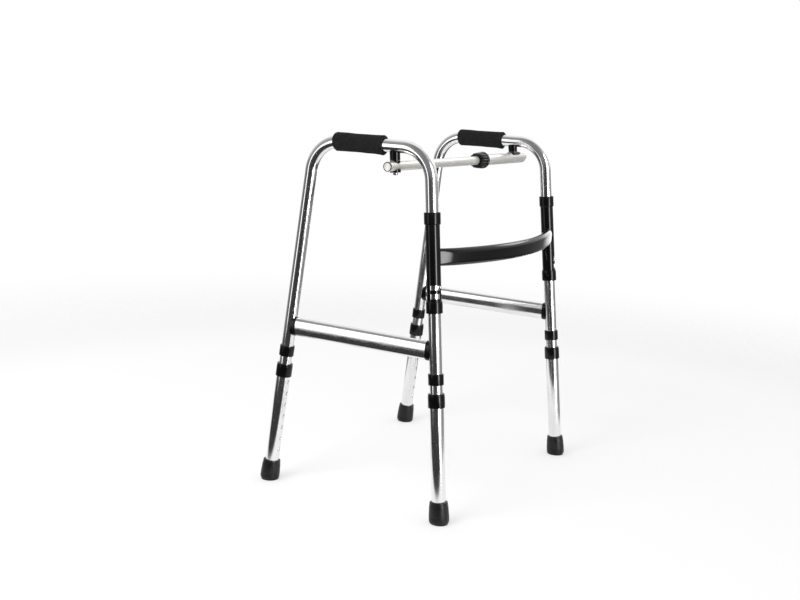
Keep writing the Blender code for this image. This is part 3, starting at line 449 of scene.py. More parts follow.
def plate(wide, long):
    """Rectangle with rounded corners: points (across, along)."""
    corner = TUBE_SADDLE_CORNER
    points = []
    for k, (x, y) in enumerate(((1, 1), (-1, 1), (-1, -1), (1, -1))):
        for j in range(EASE_STEPS + 1):
            angle = pi / 2 * (k + j / EASE_STEPS)
            points.append((x * (wide / 2 - corner) + corner * cos(angle),
                           y * (long / 2 - corner) + corner * sin(angle)))
    return points


def eased(corners):
    """Outline of (radius, height) points from such corners, each rounded off by its third value, if any."""
    points = []
    for k, (r, h, *size) in enumerate(corners):
        if not size:
            points.append((r, h))
            continue
        here = Vector((r, h))
        back = Vector(corners[k - 1][:2]) - here
        onward = Vector(corners[(k + 1) % len(corners)][:2]) - here
        reach = min(size[0], back.length * 0.5, onward.length * 0.5)
        start = here + back.normalized() * reach
        stop = here + onward.normalized() * reach
        for j in range(EASE_STEPS + 1):
            t = j / EASE_STEPS
            point = start * (1 - t) ** 2 + here * 2 * t * (1 - t) + stop * t * t
            points.append((point.x, point.y))
    return points


def loft(rings, closed=False):
    """Skin a run of rings with equal counts; the ends are capped unless the last ring joins the first.

    The point attribute grain holds (around, around, along) in metres, so that a texture can follow the piece.
    """
    bm = bmesh.new()
    grain = bm.verts.layers.float_vector.new("grain")
    count = len(rings[0])
    centres = [sum(ring, Vector()) / count for ring in rings]
    rows = []
    distance = 0
    for ring, centre, before in zip(rings, centres, centres[:1] + centres):
        distance += (centre - before).length
        row = []
        for k, point in enumerate(ring):
            vert = bm.verts.new(point)
            reach = (point - centre).length
            angle = tau * k / count
            vert[grain] = Vector((reach * cos(angle), reach * sin(angle), distance))
            row.append(vert)
        rows.append(row)
    for lower, upper in zip(rows, rows[1:] + rows[:1] if closed else rows[1:]):
        for k in range(count):
            after = (k + 1) % count
            bm.faces.new((lower[k], lower[after], upper[after], upper[k]))
    if not closed:
        bm.faces.new(reversed(rows[0]))
        bm.faces.new(rows[-1])
    return finish_mesh(bm)


def shell(outer, inner):
    """Hollow piece between two runs of rings."""
    return loft(outer + inner[::-1], closed=True)


def turned(corners, sides=ROUND_SIDES):
    """Revolve a closed outline of corners about Z; neighbouring ones on the axis leave it closed there."""
    bm = bmesh.new()
    rows = []
    for radius, height in eased(corners):
        if radius < ON_AXIS:
            rows.append([bm.verts.new((0, 0, height))])
        else:
            rows.append([bm.verts.new(point) for point in circle(radius, sides, height)])
    for lower, upper in zip(rows, rows[1:] + rows[:1]):
        if len(lower) == 1 and len(upper) == 1:
            continue
        for k in range(sides):
            after = (k + 1) % sides
            face = [lower[k % len(lower)], lower[after % len(lower)],
                    upper[after % len(upper)], upper[k % len(upper)]]
            bm.faces.new(list(dict.fromkeys(face)))
    grain = bm.verts.layers.float_vector.new("grain")
    for vert in bm.verts:
        vert[grain] = vert.co
    return finish_mesh(bm)


def finish_mesh(bm):
    bmesh.ops.recalc_face_normals(bm, faces=bm.faces[:])
    mesh = bpy.data.meshes.new("mesh")
    bm.to_mesh(mesh)
    bm.free()
    return smoothed(mesh)


def smoothed(mesh):
    mesh.shade_smooth()
    mesh.set_sharp_from_angle(angle=SMOOTH_ANGLE)
    return mesh


def tube(outer, inner, bottom, top, edge=FINE_EDGE, sides=ROUND_SIDES):
    """Plain round tube along Z."""
    corners = [(inner, bottom, edge), (outer, bottom, edge), (outer, top, edge), (inner, top, edge)]
    return turned(corners, sides)


def bar(radius, middle, reach, sides=ROUND_SIDES):
    """Solid round bar along Z, which reaches as far below its middle as above it."""
    return loft([circle(radius, sides, middle - reach), circle(radius, sides, middle + reach)])


def stand(name, data):
    """A new object in the scene."""
    obj = bpy.data.objects.new(name, data)
    bpy.context.scene.collection.objects.link(obj)
    return obj


def carve(mesh, cutters):
    """The mesh with cutters (mesh, matrix in the piece's own frame) taken out of it."""
    body = stand("carved", mesh)
    tools = []
    for cutter, matrix in cutters:
        tool = stand("cutter", cutter)
        tool.matrix_world = matrix
        modifier = body.modifiers.new("cut", "BOOLEAN")
        modifier.operation = "DIFFERENCE"
        modifier.solver = "EXACT"
        modifier.object = tool
        tools.append(tool)
    bpy.context.view_layer.update()
    result = bpy.data.meshes.new_from_object(body.evaluated_get(bpy.context.evaluated_depsgraph_get()))
    for obj in tools + [body]:
        bpy.data.objects.remove(obj, do_unlink=True)
    return smoothed(result)


def hollowed(mesh, matrix, cutter, frame):
    """A piece as (mesh, matrix) with a cutter that stands in another frame taken out of it."""
    return carve(mesh, [(cutter, matrix.inverted() @ frame)]), matrix


# Materials

class Nodes:
    """Short way to lay out the nodes of one material or world."""

    def __init__(self, owner, tints=()):
        self.owner = owner
        self.tints = tints
        owner.use_nodes = True
        self.tree = owner.node_tree
        self.tree.nodes.clear()

    def feed(self, socket, value):
        """Join the socket to another node's output, or set its constant value."""
        if isinstance(value, bpy.types.NodeSocket):
            self.tree.links.new(value, socket)
        else:
            socket.default_value = value

    def add(self, kind, *values, **named):
        """A node of a kind; values go to its inputs in order, named ones to inputs or settings so called."""
        node = self.tree.nodes.new("ShaderNode" + kind)
        for name, value in named.items():
            socket = node.inputs.get(name.replace("_", " "))
            if socket is None:
                setattr(node, name, value)
            else:
                self.feed(socket, value)
        for socket, value in zip(node.inputs, values):
            self.feed(socket, value)
        return node

    def math(self, operation, *values):
        return self.add("Math", *values, operation=operation).outputs[0]

    def plus(self, first, second):
        return self.math("ADD", first, second)

    def minus(self, first, second):
        return self.math("SUBTRACT", first, second)

    def times(self, first, second):
        return self.math("MULTIPLY", first, second)

    def blend(self, share, first, second):
        """The first value where the share is nought, the second where it is one."""
        return self.plus(first, self.times(share, self.minus(second, first)))

    def step(self, value, low, high, before=0, after=1):
        """Smooth step from one value to another as the input goes from low to high."""
        node = self.add("MapRange", value, low, high, before, after, interpolation_type="SMOOTHSTEP")
        return node.outputs["Result"]

    def within(self, value, low, high, soft):
        """One between low and high, fading to nothing over soft on either side."""
        return self.times(self.step(value, low - soft, low), self.step(value, high, high + soft, 1, 0))

    def around(self, azimuth, stops):
        """Values at stops (degrees, value) all round the horizon, as a grey."""
        node = self.add("ValToRGB", self.math("DIVIDE", azimuth, 360))
        elements = node.color_ramp.elements
        while len(elements) < len(stops):
            elements.new(0.5)
        for element, (degrees, value) in zip(elements, stops):
            element.position = degrees / 360
            element.color = (value, value, value, 1)
        return node.outputs[0]

    def grain(self, across, along):
        """Coordinates that follow the piece, scaled across and along it."""
        source = self.add("Attribute", attribute_name="grain").outputs["Vector"]
        return self.add("Mapping", source, Scale=(across, across, along)).outputs[0]

    def noise(self, across, along, detail, rough=0.55):
        """Noise that follows the piece, with so many waves to the metre across and along it."""
        vector = self.grain(across, along)
        return self.add("TexNoise", Vector=vector, Scale=1, Detail=detail, Roughness=rough).outputs[0]

    def bump(self, height, distance, strength):
        return self.add("Bump", Height=height, Distance=distance, Strength=strength).outputs[0]

    def measure(self, operation, *vectors):
        """One number out of one or two vectors."""
        return self.add("VectorMath", *vectors, operation=operation).outputs["Value"]

    def rays(self):
        """One for rays from the camera, and one for rays that were mirrored or let through."""
        path = self.add("LightPath").outputs
        return path["Is Camera Ray"], self.math("MAXIMUM", path["Is Glossy Ray"], path["Is Transmission Ray"])

    def finish(self, shader, *values, **named):
        """The owner, with a shader node as its surface."""
        output = "OutputWorld" if isinstance(self.owner, bpy.types.World) else "OutputMaterial"
        self.add(output, Surface=self.add(shader, *values, **named).outputs[0])
        return self.owner

    def coat(self, wear, low, high, roughness, **values):
        """The material, its fresh colour turning into the worn one as the wear goes from low to high."""
        mix = self.add("Mix", self.step(wear, low, high), data_type="RGBA")
        for socket, colour in zip(mix.inputs[6:8], self.tints):
            socket.default_value = (*colour, 1)
        return self.finish("BsdfPrincipled", Base_Color=mix.outputs[2], Roughness=roughness, **values)


def material_nodes(name):
    return Nodes(bpy.data.materials.new(name), TINTS.get(name))


def polished_aluminium():
    """Drawn tube, polished bright: faint lines along it and soft cloudy haze."""
    nodes = material_nodes("polished_aluminium")
    lines = nodes.noise(2600, 9, 2)
    haze = nodes.noise(60, 22, 4)
    roughness = nodes.plus(nodes.step(haze, 0.3, 0.75, 0.10, 0.17), nodes.step(lines, 0.35, 0.7, 0, 0.03))
    return nodes.coat(haze, 0.35, 0.8, roughness, Metallic=1)


def pale_metal():
    """Satin link tube, a little warm, with faint lines along it."""
    nodes = material_nodes("pale_metal")
    roughness = nodes.step(nodes.noise(1800, 12, 2), 0.3, 0.7, 0.24, 0.32)
    return nodes.coat(nodes.noise(80, 40, 4), 0.35, 0.75, roughness, Metallic=0.34)


def plated(name):
    """Small plated metal part with slight wear."""
    nodes = material_nodes(name)
    wear = nodes.noise(900, 900, 4)
    return nodes.coat(wear, 0.4, 0.75, nodes.step(wear, 0.3, 0.75, 0.18, 0.36), Metallic=1)


def gloss_black():
    """Gloss black coating with a slight orange peel and fine scuffs."""
    nodes = material_nodes("gloss_black")
    scuffs = nodes.noise(150, 35, 5, 0.7)
    roughness = nodes.step(scuffs, 0.45, 0.8, 0.085, 0.20)
    relief = nodes.bump(nodes.noise(260, 260, 2), 0.00004, 0.35)
    return nodes.coat(scuffs, 0.5, 0.8, roughness, Specular_IOR_Level=0.40, Normal=relief)


def moulded_plastic(name, low, high, shine):
    """Moulded plastic with a fine spark-eroded texture, its roughness between low and high."""
    nodes = material_nodes(name)
    broad = nodes.noise(90, 90, 4)
    roughness = nodes.step(broad, 0.3, 0.75, low, high)
    relief = nodes.bump(nodes.noise(1500, 1500, 3), 0.00006, 0.4)
    return nodes.coat(broad, 0.35, 0.75, roughness, Specular_IOR_Level=shine, Normal=relief)


def foam():
    """Closed-cell foam: matt, finely pitted, with the odd larger cell."""
    nodes = material_nodes("foam")
    cells = nodes.add("TexVoronoi", Vector=nodes.grain(1300, 1300), Scale=1).outputs["Distance"]
    pits = nodes.noise(520, 520, 4, 0.65)
    roughness = nodes.step(nodes.noise(55, 55, 3), 0.3, 0.7, 0.82, 0.95)
    relief = nodes.bump(nodes.plus(nodes.times(cells, 0.6), pits), 0.00025, 0.8)
    return nodes.coat(pits, 0.35, 0.7, roughness, Specular_IOR_Level=0.22, Normal=relief)


def rubber():
    """Moulded rubber tip with a dusty bloom and a fine grain."""
    nodes = material_nodes("rubber")
    bloom = nodes.noise(130, 130, 5, 0.6)
    roughness = nodes.step(bloom, 0.3, 0.7, 0.30, 0.45)
    relief = nodes.bump(nodes.noise(1400, 1400, 3), 0.00008, 0.5)
    return nodes.coat(bloom, 0.3, 0.75, roughness, Specular_IOR_Level=0.38, Normal=relief)


def make_materials():
    return {
        "bright_aluminium": polished_aluminium(),
        "pale_link": pale_metal(),
        "black_coat": gloss_black(),
        "black_plastic": moulded_plastic("black_plastic", 0.10, 0.20, 0.30),
        "grey_plastic": moulded_plastic("grey_plastic", 0.35, 0.50, 0.5),
        "foam": foam(),
        "rubber": rubber(),
        "button_metal": plated("button_metal"),
        "steel": plated("plated_steel"),
    }


# Pieces

class Dresser:
    """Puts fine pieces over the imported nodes, each riding on its node's body with its slot's material."""

    def __init__(self, frame, materials):
        self.nodes = frame["nodes"]
        self.materials = materials
        self.slots = {entry["node"]: entry["material_slot"] for entry in frame["record"]["subparts"]}
        self.body = {name: obj["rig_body"] for name, obj in self.nodes.items()}

    def add(self, name, node, mesh, matrix):
        """A piece on the body and in the material of a node."""
        slot = self.slots[node]
        obj = stand(name, mesh)
        obj.matrix_world = matrix
        mesh.name = name
        mesh.materials.clear()
        mesh.materials.append(self.materials[slot])
        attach(obj, self.body[node])
        return obj

    def put(self, node, mesh, matrix):
        """A fine piece that stands for a node."""
        obj = self.add("fine_" + node, node, mesh, matrix)
        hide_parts(node)
        return obj

    def paint_rest(self):
        """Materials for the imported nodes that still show."""
        for name, obj in self.nodes.items():
            if obj.hide_render:
                continue
            grain = obj.data.attributes.new("grain", "FLOAT_VECTOR", "POINT")
            for value, vert in zip(grain.data, obj.data.vertices):
                value.vector = vert.co
            obj.data.materials.clear()
            obj.data.materials.append(self.materials[self.slots[name]])


# Side frames: each function returns the mesh of the piece that it is named after, and the piece's matrix

def bend_centre():
    """Centre (y, height) of the bend between the rear leg and the handle, in the side plane."""
    tangent = BEND_RADIUS * tan((pi / 2 - LEAN_ANGLE) / 2)
    return leg_offset(HANDLE_HEIGHT) - tangent, HANDLE_HEIGHT - BEND_RADIUS


def bend_station(angle):
    """Path point (y, height) at an angle on the rear bend, and its direction."""
    y, height = bend_centre()
    return (y + BEND_RADIUS * cos(angle), height + BEND_RADIUS * sin(angle)), (-sin(angle), cos(angle))


def sweep_ring(point, direction, radius):
    """Ring round a path point of the side plane, square to the path."""
    across = Vector((1, 0, 0))
    up = Vector((0, *direction)).normalized().cross(across)
    centre = Vector((0, point[0], up_side(point[1])))
    angles = [tau * k / ROUND_SIDES for k in range(ROUND_SIDES)]
    return [centre + radius * (cos(angle) * across + sin(angle) * up) for angle in angles]


def handle_stations():
    """Path stations of the whole frame tube, rear leg end first."""
    end_height = CONNECTOR_WEB_TOP + SEAT_GAP
    turn = pi / 2 - LEAN_ANGLE
    rear = [((leg_offset(end_height), end_height), (-sin(LEAN_ANGLE), cos(LEAN_ANGLE)))]
    rear += [bend_station(LEAN_ANGLE + turn * k / BEND_STEPS) for k in range(BEND_STEPS + 1)]
    return rear + [((-y, z), (dy, -dz)) for (y, z), (dy, dz) in reversed(rear)]


def frame_tube(side):
    outer, inner = ([sweep_ring(*station, radius) for station in handle_stations()]
                    for radius in (FRAME_RADIUS, FRAME_BORE))
    return shell(outer, inner), side_frame(side)


def grip_path():
    """Stations (point, direction, distance) along the foam grip, front end first."""
    straight = bend_centre()[0] + GRIP_FRONT
    stations = []
    for k in range(GRIP_STEPS + 1):
        distance = GRIP_LENGTH * (0.5 - 0.5 * cos(pi * k / GRIP_STEPS))
        if distance <= straight:
            stations.append(((-GRIP_FRONT + distance, HANDLE_HEIGHT), (1, 0), distance))
        else:
            point, (dy, dz) = bend_station(pi / 2 - (distance - straight) / BEND_RADIUS)
            stations.append((point, (-dy, -dz), distance))
    return stations


def rounding(distance, size):
    """How far a rounded edge of a size has drawn in at a distance from the end."""
    share = min(1, distance / size)
    return size * (1 - sqrt(1 - (1 - share) ** 2))


def uneven(ring):
    """The ring of foam pushed in and out a little."""
    centre = sum(ring, Vector()) / len(ring)
    moved = []
    for point in ring:
        swell = sum(share * noise.noise(point * scale) for scale, share in GRIP_NOISE)
        moved.append(centre + (point - centre) * (1 + swell * GRIP_UNEVEN / GRIP_RADIUS))
    return moved


def grip(side):
    """Foam sleeve, a little uneven and waisted, cut square at the front and rounded at the rear."""
    outer, inner = [], []
    for point, direction, distance in grip_path():
        radius = GRIP_RADIUS - GRIP_UNEVEN - GRIP_WAIST * sin(pi * distance / GRIP_LENGTH)
        radius += GRIP_FLARE * max(0, 1 - distance / GRIP_FLARE_LENGTH) ** 2
        radius -= rounding(distance, GRIP_FRONT_EDGE) + rounding(GRIP_LENGTH - distance, GRIP_REAR_EDGE)
        outer.append(uneven(sweep_ring(point, direction, radius)))
        inner.append(sweep_ring(point, direction, FRAME_SEAT))
    return shell(outer, inner), side_frame(side)


def oval_ring(points, y):
    return [Vector((x, y, z)) for x, z in points]


def saddle_face():
    """Distance from the middle of a side frame to the flat face of its cross saddles."""
    return leg_offset(CROSS_HEIGHT) - FRAME_RADIUS - SEAT_GAP - CROSS_SADDLE


def cross_frame(side):
    return side_frame(side) @ Matrix.Translation((0, 0, up_side(CROSS_HEIGHT)))


def cross_tube(side):
    reach = saddle_face() - SEAT_GAP
    outer, inner = squared_oval(0), squared_oval(TUBE_WALL)
    return shell([oval_ring(outer, -reach), oval_ring(outer, reach)],
                 [oval_ring(inner, -reach), oval_ring(inner, reach)]), cross_frame(side)


def cross_saddle(side, end):
    """End piece that hugs the leg and holds the cross tube."""
    thick, tall = CROSS_THICK + 2 * CROSS_SADDLE_EDGE, CROSS_TALL + 2 * CROSS_SADDLE_EDGE
    rings = [oval_ring(oval(thick, tall, 0), end * (leg_offset(CROSS_HEIGHT) - CROSS_SADDLE_INNER))]
    for k in range(EASE_STEPS + 1):
        angle = pi / 2 * k / EASE_STEPS
        section = oval(thick, tall, CROSS_SADDLE_EDGE * (1 - cos(angle)))
        rings.append(oval_ring(section, end * (saddle_face() + CROSS_SADDLE_EDGE * (1 - sin(angle)))))
    leg = bar(FRAME_SEAT, up_leg(CROSS_HEIGHT), CROSS_TALL)
    return hollowed(loft(rings), cross_frame(side), leg, leg_frame(side, end))


# Legs

def leg_connector(side, end):
    """Collar round the end of the frame tube, closed by a web, on a plug for the height tube."""
    bottom, web, top = up_leg(CONNECTOR_BOTTOM), up_leg(CONNECTOR_WEB_TOP), up_leg(CONNECTOR_TOP)
    plug = FRAME_BORE - SEAT_GAP
    corners = [
        (plug, bottom - CONNECTOR_PLUG), (plug, bottom),
        (CONNECTOR_RADIUS, bottom, ROUND_EDGE), (CONNECTOR_RADIUS, top, ROUND_EDGE),
        (FRAME_SEAT, top, SMALL_EDGE), (FRAME_SEAT, web),
        (0, web), (0, bottom - CONNECTOR_PLUG),
    ]
    return turned(corners), leg_frame(side, end)


def height_hole(end, number, tube_radius):
    """Cutter for a height hole, counted from the lowest, through the inner side of a tube of the leg."""
    half = (tube_radius + CUTTER_REACH) / 2
    hole = bar(HOLE_RADIUS, half, half, SMALL_SIDES)
    return hole, radial_frame(up_leg(FIRST_HOLE) + number * HOLE_PITCH, -end)


def height_tube(side, end):
    mesh = tube(FRAME_RADIUS, FRAME_BORE, up_leg(HEIGHT_TUBE_BOTTOM), up_leg(CONNECTOR_BOTTOM) - SEAT_GAP)
    return carve(mesh, [height_hole(end, 0, FRAME_RADIUS)]), leg_frame(side, end)


def leg_tube(side, end):
    """Sliding lower tube with a row of height holes."""
    top = up_leg(LEG_COLLAR_TOP) - LEG_COLLAR_LIP - SEAT_GAP
    mesh = tube(LEG_TUBE_RADIUS, FRAME_RADIUS + SLIDE_GAP, up_leg(LEG_TUBE_BOTTOM), top)
    holes = [height_hole(end, number, LEG_TUBE_RADIUS) for number in range(HOLE_COUNT)]
    return carve(mesh, holes), leg_frame(side, end)


def leg_collar(side, end):
    """Cap on top of the leg tube, with a shallow step below its rim."""
    bottom, top = up_leg(LEG_COLLAR_BOTTOM), up_leg(LEG_COLLAR_TOP)
    rim = top - LEG_COLLAR_RIM
    socket = LEG_TUBE_RADIUS + SEAT_GAP
    corners = [
        (socket, bottom, HAIR_EDGE), (LEG_COLLAR_RADIUS, bottom, FULL_EDGE),
        (LEG_COLLAR_RADIUS, rim - LEG_COLLAR_STEP, FINE_EDGE),
        (LEG_COLLAR_RADIUS - LEG_COLLAR_STEP, rim, FINE_EDGE),
        (LEG_COLLAR_RADIUS - LEG_COLLAR_STEP, top, LEG_COLLAR_TOP_EDGE),
        (FRAME_SEAT, top, MOUTH_EDGE), (FRAME_SEAT, top - LEG_COLLAR_LIP),
        (socket, top - LEG_COLLAR_LIP),
    ]
    return turned(corners), leg_frame(side, end)


def foot(side, end):
    """Rubber tip with a rim at its mouth, two fine grooves and a rounded lower edge, cut off level."""
    base = FOOT_BASE_RADIUS
    socket = LEG_TUBE_RADIUS + SEAT_GAP
    top, floor = up_leg(FOOT_TOP), up_leg(LEG_TUBE_BOTTOM) - SEAT_GAP
    below = -2 * base * LEAN
    slope = (FOOT_TOP_RADIUS - base) / (top - FOOT_CONE_BOTTOM)
    corners = [(0, below), (base - FOOT_SOLE[0][0], below)]
    corners += [(base - inset, *rest) for inset, *rest in FOOT_SOLE]
    for groove in FOOT_GROOVES:
        corners += [
            (base, groove, FINE_EDGE),
            (base - FOOT_GROOVE_DEPTH, groove + FOOT_GROOVE_STEP, HAIR_EDGE),
            (base - FOOT_GROOVE_DEPTH, groove + 2 * FOOT_GROOVE_STEP, HAIR_EDGE),
            (base, groove + 3 * FOOT_GROOVE_STEP, FINE_EDGE),
        ]
    rim = top - FOOT_RIM
    bevel = rim - FOOT_RIM_BEVEL
    corners += [
        (base, FOOT_CONE_BOTTOM, FOOT_CONE_EDGE),
        (base + slope * (bevel - FOOT_CONE_BOTTOM), bevel, FINE_EDGE),
        (base + slope * (rim - FOOT_CONE_BOTTOM) - FOOT_RIM_INSET, rim, FINE_EDGE),
        (FOOT_TOP_RADIUS - FOOT_RIM_INSET, top, FULL_EDGE),
        (socket, top, FOOT_MOUTH_EDGE), (socket, floor), (0, floor),
    ]
    ground = bar(2 * base, -base, base, GROUND_SIDES)
    matrix = leg_frame(side, end)
    return hollowed(turned(corners), matrix, ground, Matrix.Translation(matrix.translation))


def snap_button(radius, tip):
    """Snap button along Z from the tube's axis: an inner flange and a domed stud."""
    seat = sqrt((FRAME_BORE - SEAT_GAP) ** 2 - BUTTON_FLANGE_RADIUS ** 2)
    corners = [(0, seat - BUTTON_FLANGE), (BUTTON_FLANGE_RADIUS, seat - BUTTON_FLANGE),
               (BUTTON_FLANGE_RADIUS, seat), (radius, seat)]
    dome = radius * BUTTON_DOME
    for k in range(BUTTON_STEPS):
        angle = pi / 2 * k / BUTTON_STEPS
        corners.append((radius * cos(angle), tip - dome + dome * sin(angle)))
    return turned(corners + [(0, tip)], SMALL_SIDES)


def height_button(side, end):
    mesh = snap_button(HEIGHT_BUTTON_RADIUS, LEG_TUBE_RADIUS + HEIGHT_BUTTON_STAND)
    return mesh, leg_frame(side, end) @ radial_frame(up_leg(FIRST_HOLE), -end)


def fold_button(side):
    mesh = snap_button(FOLD_BUTTON_RADIUS, SLEEVE_RADIUS + FOLD_BUTTON_STAND)
    return mesh, leg_frame(side, FRONT) @ radial_frame(up_leg(FOLD_BUTTON_HEIGHT), FRONT)


# Brace and sleeves

def slot_cutter(side, bottom, top):
    """Sector of a ring, from just inside the front of the sleeve round to its outer side."""
    inner, outer = SLEEVE_RADIUS - 2 * SLEEVE_WALL, SLEEVE_RADIUS + SLEEVE_WALL
    first, last = -pi / 2 - side * SLOT_INWARD, -pi / 2 + side * SLOT_OUTWARD
    rings = []
    for k in range(SMALL_SIDES + 1):
        angle = first + (last - first) * k / SMALL_SIDES
        section = ((inner, bottom), (outer, bottom), (outer, top), (inner, top))
        rings.append([Vector((radius * cos(angle), radius * sin(angle), z)) for radius, z in section])
    return loft(rings)


def sleeve(side):
    """Sleeve round the front leg, with two slots for the snap buttons."""
    bottom = up_leg(BOTTOM_BUSH_TOP) - SLEEVE_SOCKET + SEAT_GAP
    top = up_leg(TOP_BUSH_BOTTOM) + SLEEVE_SOCKET - SEAT_GAP
    mesh = tube(SLEEVE_RADIUS, SLEEVE_RADIUS - SLEEVE_WALL, bottom, top, sides=LARGE_SIDES)
    slots = ((BUTTON_SLOT_BOTTOM, BUTTON_SLOT_TOP), (LOWER_SLOT_BOTTOM, LOWER_SLOT_TOP))
    cutters = [(slot_cutter(side, up_leg(low), up_leg(high)), Matrix.Identity(4)) for low, high in slots]
    return carve(mesh, cutters), leg_frame(side, FRONT)


def sleeve_bush(side, mouth, end, cone):
    """Plastic bush that caps an end of the sleeve and bears on the frame tube."""
    socket = SLEEVE_RADIUS + SEAT_GAP
    way = copysign(1, end - mouth)
    mouth, end = up_leg(mouth), up_leg(end)
    corners = [
        (socket, mouth), (socket + BUSH_LIP, mouth, FINE_EDGE),
        (BUSH_RADIUS, mouth + way * cone, BUSH_EDGE), (BUSH_RADIUS, end, BUSH_EDGE),
        (FRAME_SEAT, end, MOUTH_EDGE), (FRAME_SEAT, mouth + way * SLEEVE_SOCKET),
        (socket, mouth + way * SLEEVE_SOCKET),
    ]
    return turned(corners), leg_frame(side, FRONT)


def sleeve_top_bush(side):
    return sleeve_bush(side, TOP_BUSH_BOTTOM, TOP_BUSH_TOP, TOP_BUSH_CONE)


def sleeve_bottom_bush(side):
    return sleeve_bush(side, BOTTOM_BUSH_TOP, BOTTOM_BUSH_TOP - BOTTOM_BUSH_LENGTH, BOTTOM_BUSH_CONE)


def brace_taper(from_leg):
    """How far the front of the brace has drawn back at a distance from the axis of the leg."""
    share = min(1, max(0, 1 - (from_leg - SLEEVE_RADIUS) / BRACE_TAPER_LENGTH))
    if share < BRACE_TAPER_EASE:
        drawn = share * share / (2 * BRACE_TAPER_EASE)
    else:
        drawn = share - BRACE_TAPER_EASE / 2
    return BRACE_TAPER_DEPTH * drawn / (1 - BRACE_TAPER_EASE / 2)


def front_brace():
    """Bowed flat-oval tube between the sleeves, thinner at its ends, which are hollowed to fit them."""
    half = track(BRACE_HEIGHT)
    radius = (half * half + BRACE_BOW * BRACE_BOW) / (2 * BRACE_BOW)
    reach = asin(half / radius)
    centre_y = -leg_offset(BRACE_HEIGHT) - BRACE_BOW + radius
    outer, inner = [], []
    for k in range(BRACE_STEPS + 1):
        angle = -reach + 2 * reach * k / BRACE_STEPS
        out = Vector((sin(angle), -cos(angle), 0))
        drawn = brace_taper((reach - abs(angle)) * radius)
        centre = Vector((MIDDLE_X, centre_y, BRACE_HEIGHT)) + out * (radius - drawn / 2)
        for rings, inset in ((outer, 0), (inner, BRACE_WALL)):
            section = oval(BRACE_THICK - drawn, BRACE_TALL, inset)
            rings.append([centre + out * a + Vector((0, 0, b)) for a, b in section])
    sleeves = [(bar(SLEEVE_RADIUS + SEAT_GAP, up_leg(BRACE_HEIGHT), BRACE_TALL), leg_frame(side, FRONT))
               for side in (RIGHT, LEFT)]
    return carve(shell(outer, inner), sleeves), Matrix.Identity(4)


# Link

def post_seat(side):
    """Height of a post's lower face above the link's centre line."""
    if side == RIGHT:
        return ROD_RADIUS + UPPER_SADDLE + SEAT_GAP
    return LINK_TUBE_RADIUS + TUBE_SADDLE + LINK_PIVOT_GAP


def link_post(side):
    """Stub under the handle that carries an end of the link; the left one is grooved."""
    seat, top = post_seat(side), up_leg(HANDLE_HEIGHT - LINK_HEIGHT)
    hole = BOLT_RADIUS + SEAT_GAP
    corners = [(hole, seat), (POST_RADIUS, seat, SOFT_EDGE)]
    for k in range(POST_GROOVES if side == LEFT else 0):
        height = seat + POST_GROOVE_START + POST_GROOVE_PITCH * k
        corners += [(POST_RADIUS, height, SMALL_EDGE),
                    (POST_RADIUS - POST_GROOVE, height + POST_GROOVE / 2, FINE_EDGE),
                    (POST_RADIUS, height + POST_GROOVE, SMALL_EDGE)]
    corners += [(POST_RADIUS, top), (0, top), (0, seat + BOLT_DEPTH), (hole, seat + BOLT_DEPTH)]
    handle = bar(FRAME_SEAT, 0, POST_RADIUS * 2)
    centre = Vector((side_x(side, HANDLE_HEIGHT), POST_OFFSET, HANDLE_HEIGHT))
    along = frame_along(centre, (0, 1, 0), (0, 0, 1))
    return hollowed(turned(corners), pivot_frame(side), handle, along)


def link_rod():
    end = link_length() - LINK_TUBE_MOUTH + ROD_ENGAGEMENT
    mesh = tube(ROD_RADIUS, ROD_RADIUS - TUBE_WALL, -ROD_OVERHANG + ROD_CAP, end, HAIR_EDGE)
    bolt = bar(BOLT_RADIUS + SLIDE_GAP, 0, ROD_RADIUS + CUTTER_REACH, SMALL_SIDES)
    return hollowed(mesh, link_frame(), bolt, pivot_frame(RIGHT))


def link_rod_cap():
    """Plug in the open end of the rod: a dark rim round a dished face."""
    spigot = ROD_RADIUS - TUBE_WALL - SEAT_GAP
    lip = -ROD_OVERHANG + ROD_CAP - SEAT_GAP
    dish = ROD_CAP_DISH + SEAT_GAP
    corners = [
        (0, dish + ROD_CAP_HOLLOW), (ROD_CAP_FACE, dish),
        (ROD_CAP_FACE, -ROD_OVERHANG, HAIR_EDGE), (ROD_RADIUS, -ROD_OVERHANG, MOUTH_EDGE),
        (ROD_RADIUS, lip, HAIR_EDGE), (spigot, lip),
        (spigot, lip + LINK_SPIGOT, MOUTH_EDGE), (0, lip + LINK_SPIGOT),
    ]
    return turned(corners), link_frame()


def link_rod_cap_face():
    """Pale disc over the dished face of the rod's plug."""
    dish, middle = ROD_CAP_DISH, ROD_CAP_DISH + ROD_CAP_HOLLOW
    corners = [(0, middle), (ROD_CAP_FACE, dish), (ROD_CAP_FACE, dish + SEAT_GAP), (0, middle + SEAT_GAP)]
    return turned(corners), link_frame()


def washer_saddle(outer, low, high):
    """Washer hollowed to sit on the link rod, between two heights along the bolt."""
    hole = BOLT_RADIUS + SEAT_GAP
    corners = [(hole, low), (outer, low, SOFT_EDGE), (outer, high, SOFT_EDGE), (hole, high)]
    rod = bar(ROD_RADIUS + SEAT_GAP, 0, outer * 2)
    return hollowed(turned(corners), pivot_frame(RIGHT), rod, link_frame())


def pivot_upper_saddle():
    return washer_saddle(POST_RADIUS, ROD_RADIUS - SADDLE_WRAP, ROD_RADIUS + UPPER_SADDLE)


def pivot_lower_saddle():
    return washer_saddle(LOWER_SADDLE_RADIUS, -(ROD_RADIUS + LOWER_SADDLE), -(ROD_RADIUS - SADDLE_WRAP))


